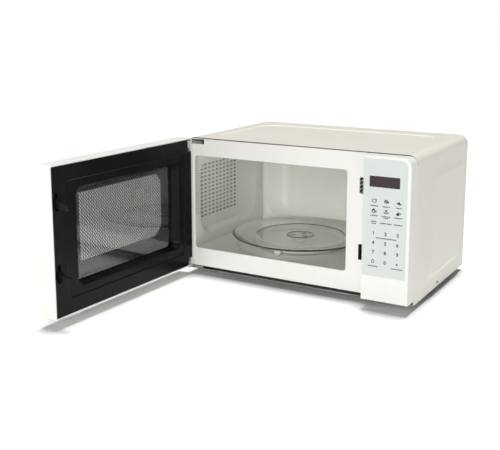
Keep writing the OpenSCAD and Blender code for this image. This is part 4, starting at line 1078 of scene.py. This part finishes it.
def aim(item, place, target):
    item.location = place
    item.rotation_mode = "QUATERNION"
    item.rotation_quaternion = (Vector(target) - Vector(place)).to_track_quat("-Z", "Y")


def area_light(name, place, target, power, size):
    light = bpy.data.lights.new(name, "AREA")
    light.energy = power
    light.shape = "SQUARE"
    light.size = size
    item = bpy.data.objects.new(name, light)
    bpy.context.scene.collection.objects.link(item)
    aim(item, place, target)


class MakeStudio(bpy.types.Operator):
    """Make the pale floor, the soft lights and the camera"""

    bl_idname = "oven.make_studio"
    bl_label = "Studio"

    def execute(self, context):
        scene = context.scene
        look = scene.oven_studio
        scene.view_settings.view_transform = "Standard"
        world = bpy.data.worlds.new("studio")
        world.use_nodes = True
        tree = world.node_tree
        background = tree.nodes["Background"]
        background.inputs["Color"].default_value = (1, 1, 1, 1)
        # White behind the oven, dimmer as a light on it
        path = tree.nodes.new("ShaderNodeLightPath")
        strength = tree.nodes.new("ShaderNodeMapRange")
        strength.inputs["To Min"].default_value = look.ambient
        strength.inputs["To Max"].default_value = 1.0
        seen = tree.nodes.new("ShaderNodeMath")
        seen.operation = "MAXIMUM"
        tree.links.new(path.outputs["Is Camera Ray"], seen.inputs[0])
        tree.links.new(path.outputs["Is Transmission Ray"], seen.inputs[1])
        tree.links.new(seen.outputs["Value"], strength.inputs["Value"])
        tree.links.new(strength.outputs["Result"], background.inputs["Strength"])
        scene.world = world
        made = solid_finish("floor_paint", (0.93, 0.93, 0.925), 0.9, grain=80, spread=0.004)
        bm = bmesh.new()
        bmesh.ops.create_grid(bm, x_segments=1, y_segments=1, size=12)
        mesh = bpy.data.meshes.new("floor")
        bm.to_mesh(mesh)
        bm.free()
        mesh.materials.append(made.material)
        floor = bpy.data.objects.new("floor", mesh)
        scene.collection.objects.link(floor)
        floor.location.z = -0.0005
        area_light("key", (0.3, -2.7, 0.5), (0, 0, 0.14), look.key_power, 1.6)
        sky = bpy.data.lights.new("overhead", "SUN")
        sky.energy = look.sky_power
        sky.angle = math.radians(12)
        item = bpy.data.objects.new("overhead", sky)
        scene.collection.objects.link(item)
        aim(item, (0, 0.2, 3), (0, 0, 0))
        camera = bpy.data.cameras.new("camera")
        camera.sensor_width = 36
        camera.lens = 60.87
        camera.shift_y = -0.1
        camera.clip_end = 60
        item = bpy.data.objects.new("camera", camera)
        scene.collection.objects.link(item)
        yaw, pitch = math.radians(30.12), math.radians(10.5)
        place = Vector((0.6503, -1.4099, 0.4710))
        sight = Vector((-math.sin(yaw) * math.cos(pitch), math.cos(yaw) * math.cos(pitch), -math.sin(pitch)))
        aim(item, place, place + sight)
        scene.camera = item
        return {"FINISHED"}


class OvenPanel(bpy.types.Panel):
    """The oven's builders, in order."""

    bl_idname = "VIEW3D_PT_oven"
    bl_label = "Microwave Oven"
    bl_space_type = "VIEW_3D"
    bl_region_type = "UI"
    bl_category = "Oven"

    def draw(self, context):
        for builder in BUILDERS:
            self.layout.operator(builder.bl_idname)
        for name in SETTINGS:
            group = getattr(context.scene, name)
            for key in group.__annotations__:
                self.layout.prop(group, key)


BUILDERS = (MakeFinishes, MakeWrapper, MakeFrontPlate, MakeScrews, MakeCavity, MakeTurntable,
            MakeControlPanel, MakeDoor, MakeStudio)
SETTINGS = {"oven_finishes": FinishSettings, "oven_cabinet": CabinetSettings, "oven_studio": StudioSettings}


def register():
    for group in SETTINGS.values():
        bpy.utils.register_class(group)
    for builder in BUILDERS + (OvenPanel,):
        bpy.utils.register_class(builder)
    for name, group in SETTINGS.items():
        setattr(bpy.types.Scene, name, PointerProperty(type=group))


def unregister():
    for name in SETTINGS:
        delattr(bpy.types.Scene, name)
    for builder in (OvenPanel,) + BUILDERS[::-1]:
        bpy.utils.unregister_class(builder)
    for group in SETTINGS.values():
        bpy.utils.unregister_class(group)


def main():
    register()
    bpy.ops.oven.make_finishes()
    bpy.ops.oven.make_wrapper()
    bpy.ops.oven.make_front_plate()
    bpy.ops.oven.make_screws()
    bpy.ops.oven.make_cavity()
    bpy.ops.oven.make_turntable()
    bpy.ops.oven.make_control_panel()
    bpy.ops.oven.make_door()
    bpy.ops.oven.make_studio()


if __name__ == "__main__":
    main()
